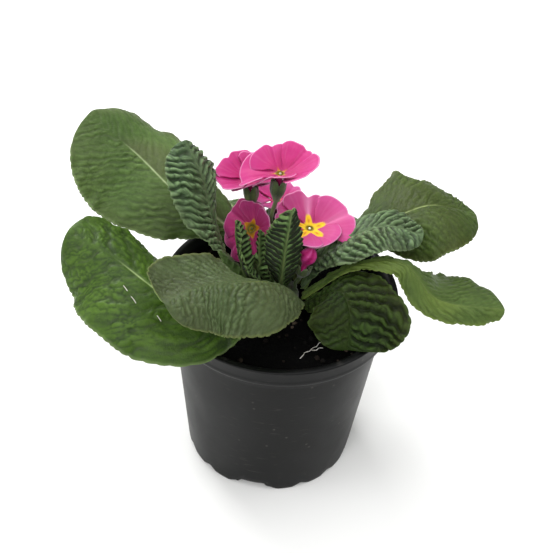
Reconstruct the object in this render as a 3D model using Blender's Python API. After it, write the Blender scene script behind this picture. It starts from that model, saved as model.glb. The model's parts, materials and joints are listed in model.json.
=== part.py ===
"""Potted primrose: a rosette of puckered leaves and five pink flowers in a round nursery pot.

Lengths below are millimetres and become metres when a mesh is made.
Origin: centre of the pot's underside, on the resting plane. +Z is up and -Y is the front.
"""
import math

import bmesh
import bpy
import numpy as np
from mathutils import Vector

MM = 0.001

# Pot
POT_HEIGHT = 92.0
RIM_RADIUS = 52.5
FOOT_RADIUS = 39.4
WALL_TOP_RADIUS = 47.3
WALL_TOP = 79.5
WALL = 1.5
FLOOR = 1.6
LIP_INNER_RADIUS = 46.9
CHANNEL_HEIGHT = 3.7
STEP_HEIGHT = 1.2
POT_SEGMENTS = 48
FOOT_SECTORS = 16
NOTCH_CENTRE = -98.0
DRAIN_HOLES = 8
DRAIN_RADIUS = 2.5
DRAIN_CIRCLE = 30.5

# Compost and crown
GAP = 0.3
SOIL_LEVEL = 85.5
SOIL_ROUGHNESS = 0.7
CROWN_RADIUS = 8.4
CROWN_BOTTOM = 80.3
CROWN_SHOULDER = 91.0
CROWN_TOP = 95.0
ROOT_CIRCLE = 9.6

# Leaves
BLADE = 0.8
PETIOLE = 2.2
PETIOLE_HALF_WIDTH = 2.2
TIP_SHARE = 0.1
VEIN_SWEEP = 0.5
PLEAT = 0.55
TOOTH = 0.45

# Flowers
PETALS = 5
TUBE_LENGTH = 10.6
TUBE_RADIUS = 1.3
PETAL_THICKNESS = 0.7
LAYER_STEP = 0.7
STALK_RADIUS = 0.95
CALYX_LENGTH = 9.7
CALYX_RADIUS = 3.0
BUD_TUBE = 5.9
BUD_LENGTH = 8.0
BUD_PROFILE = [(-BUD_TUBE, 1.17), (-2.2, TUBE_RADIUS), (-0.9, 1.9), (0.8, 3.0), (2.7, 3.6), (4.7, 3.4),
               (6.4, 2.3), (7.6, 0.9)]
BUD_FURL = 0.07
BUD_TWIST = 0.09

for old in list(bpy.data.objects):
    bpy.data.objects.remove(old)


def material(name, hex_colour, roughness, metallic=0.0):
    """A Principled material from an sRGB hex colour."""
    mat = bpy.data.materials.new(name)
    mat.use_nodes = True
    channels = [int(hex_colour[i:i + 2], 16) / 255 for i in (1, 3, 5)]
    linear = [c / 12.92 if c <= 0.04045 else ((c + 0.055) / 1.055) ** 2.4 for c in channels]
    shader = mat.node_tree.nodes["Principled BSDF"]
    shader.inputs["Base Color"].default_value = (*linear, 1)
    shader.inputs["Roughness"].default_value = roughness
    shader.inputs["Metallic"].default_value = metallic
    return mat


def solid_object(name, points, faces, mat, smooth=True):
    """An object from points in millimetres, with every face pointing outwards."""
    mesh = bpy.data.meshes.new(name)
    mesh.from_pydata([tuple(float(c) * MM for c in p) for p in points], [], faces)
    bm = bmesh.new()
    bm.from_mesh(mesh)
    bmesh.ops.triangulate(bm, faces=bm.faces)
    bmesh.ops.recalc_face_normals(bm, faces=bm.faces)
    bm.to_mesh(mesh)
    bm.free()
    mesh.materials.append(mat)
    if smooth:
        mesh.shade_smooth()
        mesh.set_sharp_from_angle(angle=math.radians(35))
    obj = bpy.data.objects.new(name, mesh)
    bpy.context.scene.collection.objects.link(obj)
    return obj


def rings_to_faces(rings, segments, start_cap=True, end_cap=True):
    """Faces between rings of equal length, with a fan to one pole at each end that has a cap.

    A pole comes before the first ring and after the last one in the list of points.
    """
    faces = []
    first = 1 if start_cap else 0
    for k in range(segments):
        after = (k + 1) % segments
        if start_cap:
            faces.append((0, first + after, first + k))
        for r in range(rings - 1):
            low = first + r * segments
            high = low + segments
            faces.append((low + k, low + after, high + after, high + k))
        if end_cap:
            last = first + (rings - 1) * segments
            faces.append((last + k, last + after, first + rings * segments))
    return faces


def turned(name, profile, segments, mat, turn=0.0, shape=None):
    """A solid of revolution whose profile starts and ends on the axis.

    shape(ring, segment, radius, height) may move a point before it is placed.
    """
    points = [(0.0, 0.0, profile[0][1])]
    inner = profile[1:-1]
    for ring, (radius, height) in enumerate(inner):
        for k in range(segments):
            angle = math.radians(turn) + 2 * math.pi * k / segments
            r, z = (radius, height) if shape is None else shape(ring, k, radius, height)
            points.append((r * math.cos(angle), r * math.sin(angle), z))
    points.append((0.0, 0.0, profile[-1][1]))
    return solid_object(name, points, rings_to_faces(len(inner), segments), mat)


def between(values, s):
    """Smooth curve through evenly spaced key values, read at s from 0 to 1."""
    values = np.asarray(values, float)
    last = len(values) - 1
    x = np.clip(s, 0, 1) * last
    i = np.minimum(x.astype(int), last - 1)
    f = x - i
    v = np.concatenate([[2 * values[0] - values[1]], values, [2 * values[-1] - values[-2]]])
    a, b, c, d = v[i], v[i + 1], v[i + 2], v[i + 3]
    return 0.5 * (2 * b + (c - a) * f + (2 * a - 5 * b + 4 * c - d) * f ** 2
                  + (3 * b - a - 3 * c + d) * f ** 3)


def curve(points, s):
    """Smooth curve through points in space, read at s from 0 to 1."""
    points = np.asarray(points, float)
    return np.stack([between(points[:, k], s) for k in range(3)], -1)


def frame_along(path, s):
    """Even steps along a path: places, directions and the level sideways direction."""
    fine = np.linspace(0, 1, 201)
    track = curve(path, fine)
    length = np.concatenate([[0], np.cumsum(np.linalg.norm(np.diff(track, axis=0), axis=1))])
    u = np.interp(s * length[-1], length, fine)
    ahead = curve(path, np.minimum(u + 0.001, 1)) - curve(path, np.maximum(u - 0.001, 0))
    ahead /= np.linalg.norm(ahead, axis=-1, keepdims=True)
    side = np.stack([-ahead[..., 1], ahead[..., 0], np.zeros(u.shape)], -1)
    side /= np.linalg.norm(side, axis=-1, keepdims=True)
    return curve(path, u), ahead, side, length[-1]


def leaf_width(s, leaf):
    """Half width along the leaf: winged petiole, widest point and rounded tip."""
    petiole, start, widest, tip = leaf["outline"]
    rise = np.clip((s - start) / (widest - start), 0, 1)
    body = petiole + (1 - petiole) * rise * rise * (3 - 2 * rise)
    beyond = np.clip((s - widest) / (1 - widest), 0, 1)
    width = leaf["half_width"] * body * np.clip(1 - beyond ** tip, 0, 1) ** (1 / tip)
    return np.maximum(width, max(BLADE, TIP_SHARE * leaf["half_width"]))


def leaf_surface(leaf, s, t):
    """Points of the leaf's middle sheet. s runs from root to tip and t from -1 (right) to 1 (left).

    The midrib follows a smooth path. Each half leaves it at a fold angle and then bends by a
    curl angle, so a rib across the leaf is an arc of a circle. A lobe (side, centre, reach,
    amount) makes one half wider or narrower near one place, as a bell curve of s.
    """
    place, ahead, side, length = frame_along(leaf["midrib"], s)
    up = np.cross(ahead, side)
    roll = np.radians(between(leaf["roll"], s))[..., None]
    across = side * np.cos(roll) + up * np.sin(roll)
    normal = up * np.cos(roll) - side * np.sin(roll)
    left = t >= 0
    width = np.minimum(leaf_width(s, leaf), PETIOLE_HALF_WIDTH + 0.5 * s * length)
    shares = [between(leaf.get(key, (1, 1)), s) for key in ("left_width", "right_width")]
    width = width * np.where(left, *shares)
    for turn, centre, reach, amount in leaf.get("lobes", ()):
        width = width * (1 + amount * np.exp(-((s - centre) / reach) ** 2) * (t * turn > 0))
    fold = np.radians(np.where(left, between(leaf["fold_left"], s), between(leaf["fold_right"], s)))
    curl = np.radians(np.where(left, between(leaf["curl_left"], s), between(leaf["curl_right"], s)))
    curl = np.where(np.abs(curl) < 1e-4, 1e-4, curl)
    a = np.abs(t)
    out = (np.sin(fold + curl * a) - np.sin(fold)) / curl * width
    rise = -(np.cos(fold + curl * a) - np.cos(fold)) / curl * width
    sign = np.where(left, 1.0, -between(leaf.get("right_share", (1, 1)), s))
    return place + across * (sign * out)[..., None] + normal * rise[..., None]


def unit_normals(grid):
    """Upward normals of a grid of points, from its central differences."""
    along = np.gradient(grid, axis=0)
    over = np.gradient(grid, axis=1)
    n = np.cross(along, over)
    return n / np.maximum(np.linalg.norm(n, axis=-1, keepdims=True), 1e-9)


def make_leaf(leaf, mat, rows=18, columns=6):
    """One leaf: a waved, pleated sheet of triangles thickened to a closed blade.

    Rows follow the side veins, which sweep forward from the midrib. Every other row stands up,
    and its ends stand out, so the blade is puckered and its edge is scalloped.
    """
    x = np.linspace(0, 1, rows + 1)
    t = np.linspace(-1, 1, columns + 1)
    base = 1 - (1 - x) ** 1.25
    s = base[:, None] + leaf.get("sweep", VEIN_SWEEP) * np.abs(t)[None, :] * (base * (1 - base))[:, None]
    t_grid = np.repeat(t[None, :], rows + 1, axis=0)
    grid = leaf_surface(leaf, s, t_grid)
    normal = unit_normals(grid)
    outward = np.gradient(grid, axis=1)
    outward /= np.maximum(np.linalg.norm(outward, axis=-1, keepdims=True), 1e-9)
    zigzag = np.where(np.arange(rows + 1) % 2, 1.0, -1.0)[:, None]
    fade = (np.clip(s / 0.25, 0, 1) * np.clip((1 - s) / 0.12, 0, 1))
    reach = np.abs(t_grid)
    pucker = leaf.get("pleat", PLEAT) * np.sin(np.pi * np.clip(reach * 0.85 + 0.08, 0, 1))
    grid = grid + normal * (zigzag * fade * pucker)[..., None]
    teeth = TOOTH * zigzag * fade * (reach > 0.99) * np.sign(t_grid)
    grid = grid + outward * teeth[..., None]

    faces = []
    wide = columns + 1
    for i in range(rows):
        for j in range(columns):
            a = i * wide + j
            b = a + wide
            if (j < columns / 2) == (i % 2 == 0):
                faces += [(a, a + 1, b + 1), (a, b + 1, b)]
            else:
                faces += [(a, a + 1, b), (a + 1, b + 1, b)]
    mesh = bpy.data.meshes.new(leaf["name"])
    mesh.from_pydata([tuple(p) for p in grid.reshape(-1, 3) * MM], [], faces)
    mesh.materials.append(mat)
    mesh.shade_smooth()
    obj = bpy.data.objects.new(leaf["name"], mesh)
    bpy.context.scene.collection.objects.link(obj)
    thick = obj.vertex_groups.new(name="thickness")
    stem = np.clip(1 - s / 0.3, 0, 1) ** 1.5
    root_thickness = leaf.get("petiole", PETIOLE)
    share = (BLADE + (root_thickness - BLADE) * stem) / root_thickness
    for index, weight in enumerate(share.ravel()):
        thick.add([index], float(weight), "REPLACE")
    solidify = obj.modifiers.new("blade thickness", "SOLIDIFY")
    solidify.thickness = root_thickness * MM
    solidify.offset = 0.0
    solidify.vertex_group = thick.name
    return obj


def tube_points(path, profile, segments, wobble=None):
    """Rings round a curved axis. profile lists (share of the path, radius) pairs.

    wobble(ring, segment) gives (radius factor, shift along the axis) where a ring isn't round.
    """
    share = np.array([p[0] for p in profile])
    place, ahead, _, _ = frame_along(path, share)
    side = np.array([1.0, 0.0, 0.0])
    points = []
    for ring, (_, radius) in enumerate(profile):
        side = side - ahead[ring] * (side @ ahead[ring])
        side /= np.linalg.norm(side)
        up = np.cross(ahead[ring], side)
        for k in range(segments):
            angle = 2 * math.pi * k / segments
            factor, shift = (1.0, 0.0) if wobble is None else wobble(ring, k)
            spoke = side * math.cos(angle) + up * math.sin(angle)
            points.append(place[ring] + spoke * radius * factor + ahead[ring] * shift)
    return points, place


def flower_axes(tilt, heading):
    """Axes of a flower tilted from upright towards a heading, in degrees.

    The first axis points down the tilt, the second lies level and the third is the way it faces.
    """
    a, b = math.radians(tilt), math.radians(heading)
    down = np.array([math.cos(a) * math.cos(b), math.cos(a) * math.sin(b), -math.sin(a)])
    facing = np.array([math.sin(a) * math.cos(b), math.sin(a) * math.sin(b), math.cos(a)])
    return down, np.cross(facing, down), facing


def make_stalk(flower, mat):
    """Flower stalk and calyx in one: a bent stalk that opens into a ribbed cup with five teeth."""
    throat = np.array(flower["throat"], float)
    facing = flower_axes(*flower["facing"])[2]
    foot = crown_seat(*flower["foot"])
    top = throat - facing * 3.2
    calyx = flower.get("calyx", CALYX_LENGTH)
    cup_base = top - facing * calyx
    rising = foot + np.array([0.0, 0.0, 3.0])
    route = [foot, rising] + [np.array(p, float) for p in flower["route"]] + [cup_base - facing * 2.0]
    stem = curve(route, np.linspace(0, 1, 7))
    axis = list(stem) + [cup_base, cup_base + facing * calyx / 2, top]
    steps = np.linspace(0, 1, 201)
    track = curve(axis, steps)
    length = np.linalg.norm(np.diff(track, axis=0), axis=1).sum()
    cup = 1 - calyx / length
    well = 1 - (calyx - 1.6) / length
    rings = [(k / 5 * (cup - 1.6 / length), STALK_RADIUS) for k in range(6)]
    rings += [(cup, CALYX_RADIUS * 0.62), (cup + 0.23 * calyx / length, CALYX_RADIUS * 0.9),
              (cup + 0.5 * calyx / length, CALYX_RADIUS), (1 - 2.4 / length, CALYX_RADIUS * 1.02),
              (1.0, CALYX_RADIUS * 1.1)]
    outer = len(rings)
    inner_radius = TUBE_RADIUS + GAP + 0.15
    rings += [(1.0, CALYX_RADIUS * 1.1 - 0.75), (1 - 2.4 / length, CALYX_RADIUS * 0.95 - 0.75),
              (well + 2.0 / length, inner_radius), (well, inner_radius * 0.9)]
    segments = 10

    def ribbed(ring, k):
        if ring < 6:
            return 1.0, 0.0
        rib = 1.08 if k % 2 == 0 else 0.9
        if ring in (outer - 1, outer):
            return (1.1, 1.2) if k % 2 == 0 else (0.92, -1.6)
        return (rib, 0.0) if ring < outer else (1.0, 0.0)

    points, place = tube_points(axis, rings, segments, ribbed)
    points = [tuple(place[0])] + points + [tuple(place[-1])]
    return solid_object(flower["stalk"], points, rings_to_faces(len(rings), segments), mat)


def petal_cup(cups, angle):
    """Cup angle at an angle round the flower, eased from the middle of each petal to the next."""
    place = (angle / (2 * math.pi) * PETALS - 0.5) % PETALS
    p = int(place)
    share = (1 - math.cos(math.pi * (place - p))) / 2
    return cups[p] + (cups[(p + 1) % PETALS] - cups[p]) * share


def make_corolla(flower, mat):
    """Corolla: a tube that opens into five notched petals, each lapping over the next."""
    across = np.array([0.04, 0.2, 0.36, 0.5, 0.64, 0.8, 0.96])
    outline = np.array([0.86, 0.99, 1.0, 0.93, 1.0, 0.99, 0.86])
    angle, edge, lap, lift = [], [], [], []
    for p in range(PETALS):
        for share, fraction in zip(across, outline):
            turn = math.radians(flower["turn"]) + 2 * math.pi * (p + share) / PETALS
            angle.append(turn)
            edge.append(flower["radii"][p] * fraction)
            lap.append(share - 0.5)
            lift.append(math.radians(petal_cup(flower["cups"], turn - math.radians(flower["turn"]))
                                     - flower["nod"] * math.cos(turn)))
    angle, edge, lap, lift = (np.array(v) for v in (angle, edge, lap, lift))
    segments = len(angle)

    def limb(fraction, drop):
        r = 1.9 + (edge * np.cos(lift) - 1.9) * fraction
        z = edge * np.sin(lift) * fraction ** 1.3 + 2 * LAYER_STEP * lap * min(1.0, fraction * 1.6) - drop
        return r, z

    ones = np.ones(segments)
    thick = PETAL_THICKNESS
    rings = [(ones * TUBE_RADIUS * 0.9, ones * -TUBE_LENGTH), (ones * TUBE_RADIUS, ones * -2.2),
             (ones * 1.9, ones * -0.9), limb(0.5, thick), limb(1.0, thick), limb(1.0, 0.0),
             limb(0.5, 0.0), (ones * 1.5, ones * 0.1), (ones * 0.7, ones * -1.6)]
    points = [(0.0, 0.0, -TUBE_LENGTH)]
    for r, z in rings:
        points += list(zip(r * np.cos(angle), r * np.sin(angle), z))
    points.append((0.0, 0.0, -2.0))
    placed = np.array(flower["throat"]) + np.array(points) @ np.array(flower_axes(*flower["facing"]))
    return solid_object(flower["name"], placed, rings_to_faces(len(rings), segments), mat)


def make_bud(flower, mat):
    """Bud: the same tube, closed above by petals that are still furled round each other."""
    segments = 4 * PETALS
    angle = np.linspace(0, 2 * math.pi, segments + 1)[:-1]
    points = [(0.0, 0.0, -BUD_TUBE)]
    for z, r in BUD_PROFILE:
        furl = 1 + BUD_FURL * np.cos(PETALS * (angle - BUD_TWIST * z)) * min(1.0, max(0.0, z / 2))
        points += list(zip(r * furl * np.cos(angle), r * furl * np.sin(angle), np.full(segments, z)))
    points.append((0.0, 0.0, BUD_LENGTH))
    placed = np.array(flower["throat"]) + np.array(points) @ np.array(flower_axes(*flower["facing"]))
    return solid_object(flower["name"], placed, rings_to_faces(len(BUD_PROFILE), segments), mat)


def crown_seat(x, y):
    """Place a hair above the crown's dome, where a stalk or a young leaf stands."""
    dome = [(0.0, CROWN_TOP), (3.4, CROWN_TOP - 0.5), (6.4, CROWN_TOP - 1.8), (CROWN_RADIUS, CROWN_SHOULDER)]
    height = np.interp(math.hypot(x, y), [d[0] for d in dome], [d[1] for d in dome])
    return np.array([x, y, height + 0.95])


def crown_root(angle, height):
    """A leaf's root beside the crown."""
    a = math.radians(angle)
    return (ROOT_CIRCLE * math.cos(a), ROOT_CIRCLE * math.sin(a), height)


# Large leaves. The outline lists the petiole's share of the half width, where the blade starts,
# where it is widest and how blunt its tip is. Angles are degrees.
LEAVES = [
    dict(name="leaf_back_left", colour="pale",
         midrib=[crown_root(158, 90), (-26, 21, 107), (-49, 28, 118), (-69, 39, 130), (-91, 46, 144)],
         roll=(-10, -16, -13, -10), half_width=32, outline=(0.08, 0.11, 0.72, 2.3),
         fold_left=(-8, -5), fold_right=(9, 9), curl_left=(-61, -18), curl_right=(-8, -86),
         lobes=((-1, 0.91, 0.055, 0.14), (-1, 0.76, 0.06, -0.08)), pleat=0.4),
    dict(name="leaf_upright_left", colour="blue",
         midrib=[crown_root(184, 92.5), (-22, 1, 103.5), (-30, 6, 118), (-36.5, 12, 140),
                 (-45.5, 22.5, 150.5)],
         roll=(21, 22, 1, 3), half_width=18, outline=(0.25, 0.0, 0.6, 2.4),
         fold_left=(43, 0), fold_right=(-25, -11), curl_left=(1, -25), curl_right=(-31, -61)),
    dict(name="leaf_low_left", colour="fresh",
         midrib=[crown_root(212, 89), (-20, -18.5, 108), (-39, -30, 105), (-71.5, -17, 117.5),
                 (-90.5, -13, 123)],
         roll=(-2, -6, 9, -27), half_width=30.5, outline=(0.09, 0.03, 0.55, 2.5),
         fold_left=(-7, -20), fold_right=(7, 2), curl_left=(-25, -48), curl_right=(-54, -56),
         right_share=(0.9, 0.5, 1, 1)),
    dict(name="leaf_front", colour="grey",
         midrib=[crown_root(250, 90), (0, -20, 111), (-10, -33, 124), (-31, -42.5, 127.5),
                 (-44, -54.5, 128)],
         roll=(-19, 11, 12, -1), half_width=26.5, outline=(0.25, -0.1, 0.52, 2.7),
         fold_left=(-14, 9), fold_right=(-20, -9), curl_left=(-51, -76), curl_right=(-18, 39)),
    dict(name="leaf_low_right", colour="dark",
         midrib=[crown_root(-44, 88), (17, -13, 101), (25, -18.5, 109.5), (29.5, -28.5, 106.5),
                 (30.3, -35.2, 92)],
         roll=(-3, 0, 0, -1), half_width=27.5, outline=(0.12, 0.08, 0.51, 2.7),
         fold_left=(-1, 23), fold_right=(-16, 10), curl_left=(-30, -1), curl_right=(-27, -12),
         right_share=(0.9, 0.77, 0.72, 0.68), sweep=0.2, pleat=0.45),
    dict(name="leaf_arch_right", colour="pale",
         midrib=[crown_root(-10, 90), (29, -3.6, 111.5), (51, -5.5, 117), (68.5, -10, 102), (98, -6, 95.5)],
         roll=(0, 0, 0, -5), half_width=23, outline=(0.13, 0.25, 0.8, 2.5),
         fold_left=(7, 4, 8), fold_right=(10, -10, -30),
         curl_left=(-25, -30, -25), curl_right=(-60, -60, -50),
         left_width=(1, 0.6, 0.2, 1, 1.1), right_width=(1, 1, 0.68, 0.41, 0.37), pleat=0.2, sweep=0.0),
    dict(name="leaf_mid_right", colour="blue",
         midrib=[crown_root(22, 90.5), (16.5, 7.5, 105), (28.5, 8, 117.5), (43, 9, 124.5), (59, 6.5, 122.5)],
         roll=(-15, -1, -7, -4), half_width=18, outline=(0.19, 0.0, 0.56, 2.3),
         fold_left=(9, 9), fold_right=(31, 12), curl_left=(-66, -26), curl_right=(-41, -55)),
    dict(name="leaf_back_right", colour="fresh",
         midrib=[crown_root(50, 90), (20.5, 19, 102), (42.5, 26, 112), (63, 31.5, 120.5), (85, 37.5, 113.5)],
         roll=(7, 2, 1, -7), half_width=29.5, outline=(0.09, 0.32, 0.64, 1.8),
         fold_left=(-6, 17), fold_right=(-18, 22), curl_left=(-2, -47), curl_right=(-74, -68),
         right_share=(1, 0.75, 0.9, 1.3), sweep=0.3, pleat=0.35,
         lobes=((1, 0.66, 0.042, 0.17), (1, 0.575, 0.04, -0.07), (1, 0.78, 0.05, -0.06))),
    dict(name="leaf_rear_left", colour="fresh",
         midrib=[crown_root(130, 89), (-16, 26, 99.5), (-24, 41, 102), (-30, 54, 95), (-35, 65, 81)],
         roll=(0, 0, 0, 0), half_width=17, outline=(0.12, 0.2, 0.64, 2.3),
         fold_left=(12, 8), fold_right=(12, 8), curl_left=(-30, -40), curl_right=(-30, -40)),
    dict(name="leaf_rear", colour="dark",
         midrib=[crown_root(105, 87.5), (0, 26, 92.5), (2, 40, 95), (4, 55, 94), (5, 68, 81)],
         roll=(0, 0, 0, 0), half_width=14, outline=(0.14, 0.25, 0.66, 2.3),
         fold_left=(14, 8), fold_right=(14, 8), curl_left=(-30, -45), curl_right=(-30, -45), sweep=0.4),
    dict(name="leaf_rear_right", colour="fresh",
         midrib=[crown_root(78, 89), (15, 28, 97), (27, 42, 98.5), (37, 52, 91), (44, 60, 77)],
         roll=(0, 0, 0, 0), half_width=15, outline=(0.12, 0.2, 0.62, 2.3),
         fold_left=(12, 6), fold_right=(12, 6), curl_left=(-30, -45), curl_right=(-30, -45)),
]

# Young leaves stand on top of the crown, folded along the midrib.
YOUNG_LEAVES = [
    dict(name="leaf_young_centre", colour="young",
         midrib=[crown_seat(0.6, -5.0), (0.2, -9.5, 107), (0.4, -12.2, 120), (0.9, -14.5, 134),
                 (2, -16, 148)],
         roll=(0, 0, 0, 0), half_width=9.5, outline=(0.35, -0.1, 0.45, 2.0), petiole=1.4,
         fold_left=(45, 35), fold_right=(45, 35), curl_left=(-10, -10), curl_right=(-10, -10)),
    dict(name="leaf_young_left", colour="young",
         midrib=[crown_seat(-5.5, -2.5), (-13.5, -6.8, 103), (-17.3, -6.8, 113), (-19.5, -6.2, 123.5),
                 (-20.8, -6.2, 132.5)],
         roll=(0, 0, 0, 0), half_width=6, outline=(0.4, -0.1, 0.5, 2.0), petiole=1.2, pleat=0.35,
         fold_left=(40, 35), fold_right=(40, 35), curl_left=(-10, -10), curl_right=(-10, -10)),
    dict(name="leaf_young_right", colour="young",
         midrib=[crown_seat(-3.2, -1.2), (-8.8, -2.7, 104), (-9.6, -3.6, 112), (-10, -4.3, 120),
                 (-10.4, -4.8, 127.5)],
         roll=(0, 0, 0, 0), half_width=3.6, outline=(0.5, -0.1, 0.5, 2.0), petiole=1.2, pleat=0.25,
         fold_left=(35, 35), fold_right=(35, 35), curl_left=(-10, -10), curl_right=(-10, -10)),
]

# Flowers. facing is the tube's tilt from upright and its heading. Each petal rises by its cup
# angle, less the nod where it points down the tilt. route lists the stalk's bends above its foot.
FLOWERS = [
    dict(name="flower_top_left", stalk="stalk_top_left", throat=(-17, 23.4, 132), facing=(6, 180),
         turn=-4, radii=[15.5, 13.5, 13, 14, 16.2], cups=[15, 28, 15, 32, 30], nod=0, foot=(-5.0, 2.6),
         route=[(-15, 12, 103), (-21, 21.5, 111)]),
    dict(name="flower_top_right", stalk="stalk_top_right", throat=(-4, 9, 147), facing=(4, 0),
         turn=-66, radii=[19, 16.5, 15, 17.5, 13.5], cups=[37, 36, 26, -18, 30], nod=0,
         foot=(-0.3, 1.8), route=[(-6.5, 10, 118)]),
    dict(name="flower_left", stalk="stalk_left", throat=(-14.5, 12.2, 114.2), facing=(42, 222),
         turn=18, radii=[14, 13, 13, 15, 15.5], cups=[12] * 5, nod=22, foot=(-2.2, 4.6),
         route=[(-5.5, 15, 99.5)]),
    dict(name="flower_right", stalk="stalk_right", throat=(10.5, 12, 117), facing=(5, 0),
         turn=-7, radii=[20.5, 18, 17.5, 15, 14.5], cups=[16, 31, 20, 8, 12], nod=0, foot=(3.6, 1.4),
         route=[(8, 8, 99)]),
    dict(name="flower_rear", stalk="stalk_rear", throat=(-5, 32, 115), facing=(25, 90),
         turn=-84, radii=[13] * 5, cups=[22] * 5, nod=-20, foot=(1.2, 4.6), route=[(-1, 17, 98)]),
]
BUD = dict(name="flower_bud", stalk="stalk_bud", throat=(10.2, -1, 109.4), facing=(14, 5), calyx=5.0,
           foot=(6.3, -1.6), route=[])

POT_PLASTIC = material("pot plastic", "#333434", 0.45)
COMPOST = material("peat compost", "#1c1512", 0.95)
CROWN = material("crown tissue", "#6d7550", 0.7)
GREENS = {
    "pale": material("pale leaf", "#5f7d45", 0.55),
    "blue": material("bluish leaf", "#4e6b52", 0.55),
    "fresh": material("fresh green leaf", "#4a6a26", 0.5),
    "grey": material("greyish leaf", "#66785a", 0.6),
    "dark": material("dark leaf", "#3a4f26", 0.55),
    "young": material("young leaf", "#42603a", 0.6),
}
PINK = material("pink petal", "#dc4a86", 0.5)
STALK = material("stalk and calyx", "#7f9350", 0.6)


def outer(z):
    """Outer radius of the pot's plain wall at a height."""
    return FOOT_RADIUS + (WALL_TOP_RADIUS - FOOT_RADIUS) * z / WALL_TOP


def make_pot():
    """Pot: a tapered wall, a collar with a fine step, a solid lip and a notched foot ring."""
    profile = [
        (0, 0), (24.0, 0), (25.5, CHANNEL_HEIGHT), (35.4, CHANNEL_HEIGHT), (36.7, 0),
        (FOOT_RADIUS - 0.5, 0), (FOOT_RADIUS, 0.6), (outer(42), 42), (WALL_TOP_RADIUS, WALL_TOP),
        (RIM_RADIUS - 1.1, 83.8), (RIM_RADIUS - 0.6, 85.2), (RIM_RADIUS - 1.0, 86.0),
        (RIM_RADIUS, 91.4), (RIM_RADIUS - 0.4, POT_HEIGHT), (49.6, POT_HEIGHT),
        (LIP_INNER_RADIUS + 0.4, 89.4), (LIP_INNER_RADIUS, 84.0), (outer(76) - WALL, 76),
        (outer(6.5) - WALL, 6.5), (36.2, CHANNEL_HEIGHT + WALL), (26.0, CHANNEL_HEIGHT + WALL),
        (23.6, FLOOR), (0, FLOOR)]
    per_sector = POT_SEGMENTS // FOOT_SECTORS
    foot_rings = {3: 0.0, 4: 0.0, 5: 0.6}

    def foot(ring, k, radius, height):
        if ring not in foot_rings:
            return radius, height
        sector, place = divmod(k, per_sector)
        notch = sector % 4 == 0 and place > 0
        next_to_notch = place == 0 and sector % 4 in (0, 1)
        if notch:
            return radius, CHANNEL_HEIGHT + foot_rings[ring]
        if place == 0 and not next_to_notch:
            return radius, STEP_HEIGHT + foot_rings[ring]
        return radius, height

    turn = NOTCH_CENTRE - 180.0 / FOOT_SECTORS
    pot = turned("pot", profile, POT_SEGMENTS, POT_PLASTIC, turn, foot)

    cutter_mesh = bpy.data.meshes.new("drain hole cutter")
    bm = bmesh.new()
    for k in range(DRAIN_HOLES):
        angle = math.radians(NOTCH_CENTRE + 360.0 * k / DRAIN_HOLES)
        made = bmesh.ops.create_cone(bm, cap_ends=True, segments=10, radius1=DRAIN_RADIUS * MM,
                                     radius2=DRAIN_RADIUS * MM, depth=4 * MM)
        shift = Vector((math.cos(angle) * DRAIN_CIRCLE, math.sin(angle) * DRAIN_CIRCLE, 4.4)) * MM
        bmesh.ops.translate(bm, verts=made["verts"], vec=shift)
    bm.to_mesh(cutter_mesh)
    bm.free()
    cutter = bpy.data.objects.new("drain hole cutter", cutter_mesh)
    bpy.context.scene.collection.objects.link(cutter)
    cutter.hide_render = True
    cutter.display_type = "WIRE"
    holes = pot.modifiers.new("drain holes", "BOOLEAN")
    holes.operation = "DIFFERENCE"
    holes.solver = "EXACT"
    holes.object = cutter
    return pot


def make_soil():
    """Compost: fills the pot a hair clear of its wall, with a plain hole for the crown."""
    draw = np.random.default_rng(11)
    inset = WALL + GAP
    hole = CROWN_RADIUS + 0.5
    profile = [
        (0, FLOOR + GAP), (23.2, FLOOR + GAP), (25.7, CHANNEL_HEIGHT + WALL + GAP),
        (36.0, CHANNEL_HEIGHT + WALL + GAP), (outer(7.0) - inset, 7.0), (outer(75.8) - inset, 75.8),
        (LIP_INNER_RADIUS - GAP, 83.8), (LIP_INNER_RADIUS - GAP, SOIL_LEVEL), (40, SOIL_LEVEL),
        (31, SOIL_LEVEL), (22, SOIL_LEVEL), (14, SOIL_LEVEL + 0.2), (hole, SOIL_LEVEL + 0.3),
        (hole, CROWN_BOTTOM - GAP), (0, CROWN_BOTTOM - GAP)]
    segments = POT_SEGMENTS // 2
    bumps = draw.uniform(-SOIL_ROUGHNESS, SOIL_ROUGHNESS, (len(profile), segments))

    def uneven(ring, k, radius, height):
        if ring in (7, 8, 9, 10):
            return radius, height + bumps[ring, k]
        return radius, height

    return turned("soil", profile, segments, COMPOST, NOTCH_CENTRE - 180.0 / FOOT_SECTORS, uneven)


def make_crown():
    """Crown: a short stump with a domed top and shallow flutes between the leaf bases."""
    profile = [(0, CROWN_BOTTOM), (7.4, CROWN_BOTTOM), (CROWN_RADIUS - 0.2, 83), (CROWN_RADIUS, 88),
               (CROWN_RADIUS - 0.1, CROWN_SHOULDER), (6.4, 93.2), (3.4, 94.5), (0, CROWN_TOP)]

    def fluted(ring, k, radius, height):
        return radius * (1.0 if k % 2 == 0 else 0.95), height

    return turned("crown", profile, 22, CROWN, 0.0, fluted)


make_pot()
make_soil()
make_crown()
rosette = bpy.data.objects.new("rosette", None)
bpy.context.scene.collection.objects.link(rosette)
for leaf in LEAVES:
    make_leaf(leaf, GREENS[leaf["colour"]]).parent = rosette
for leaf in YOUNG_LEAVES:
    make_leaf(leaf, GREENS[leaf["colour"]], rows=12, columns=4).parent = rosette
for flower in FLOWERS:
    make_stalk(flower, STALK).parent = rosette
    make_corolla(flower, PINK).parent = rosette
make_stalk(BUD, STALK).parent = rosette
make_bud(BUD, PINK).parent = rosette
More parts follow.
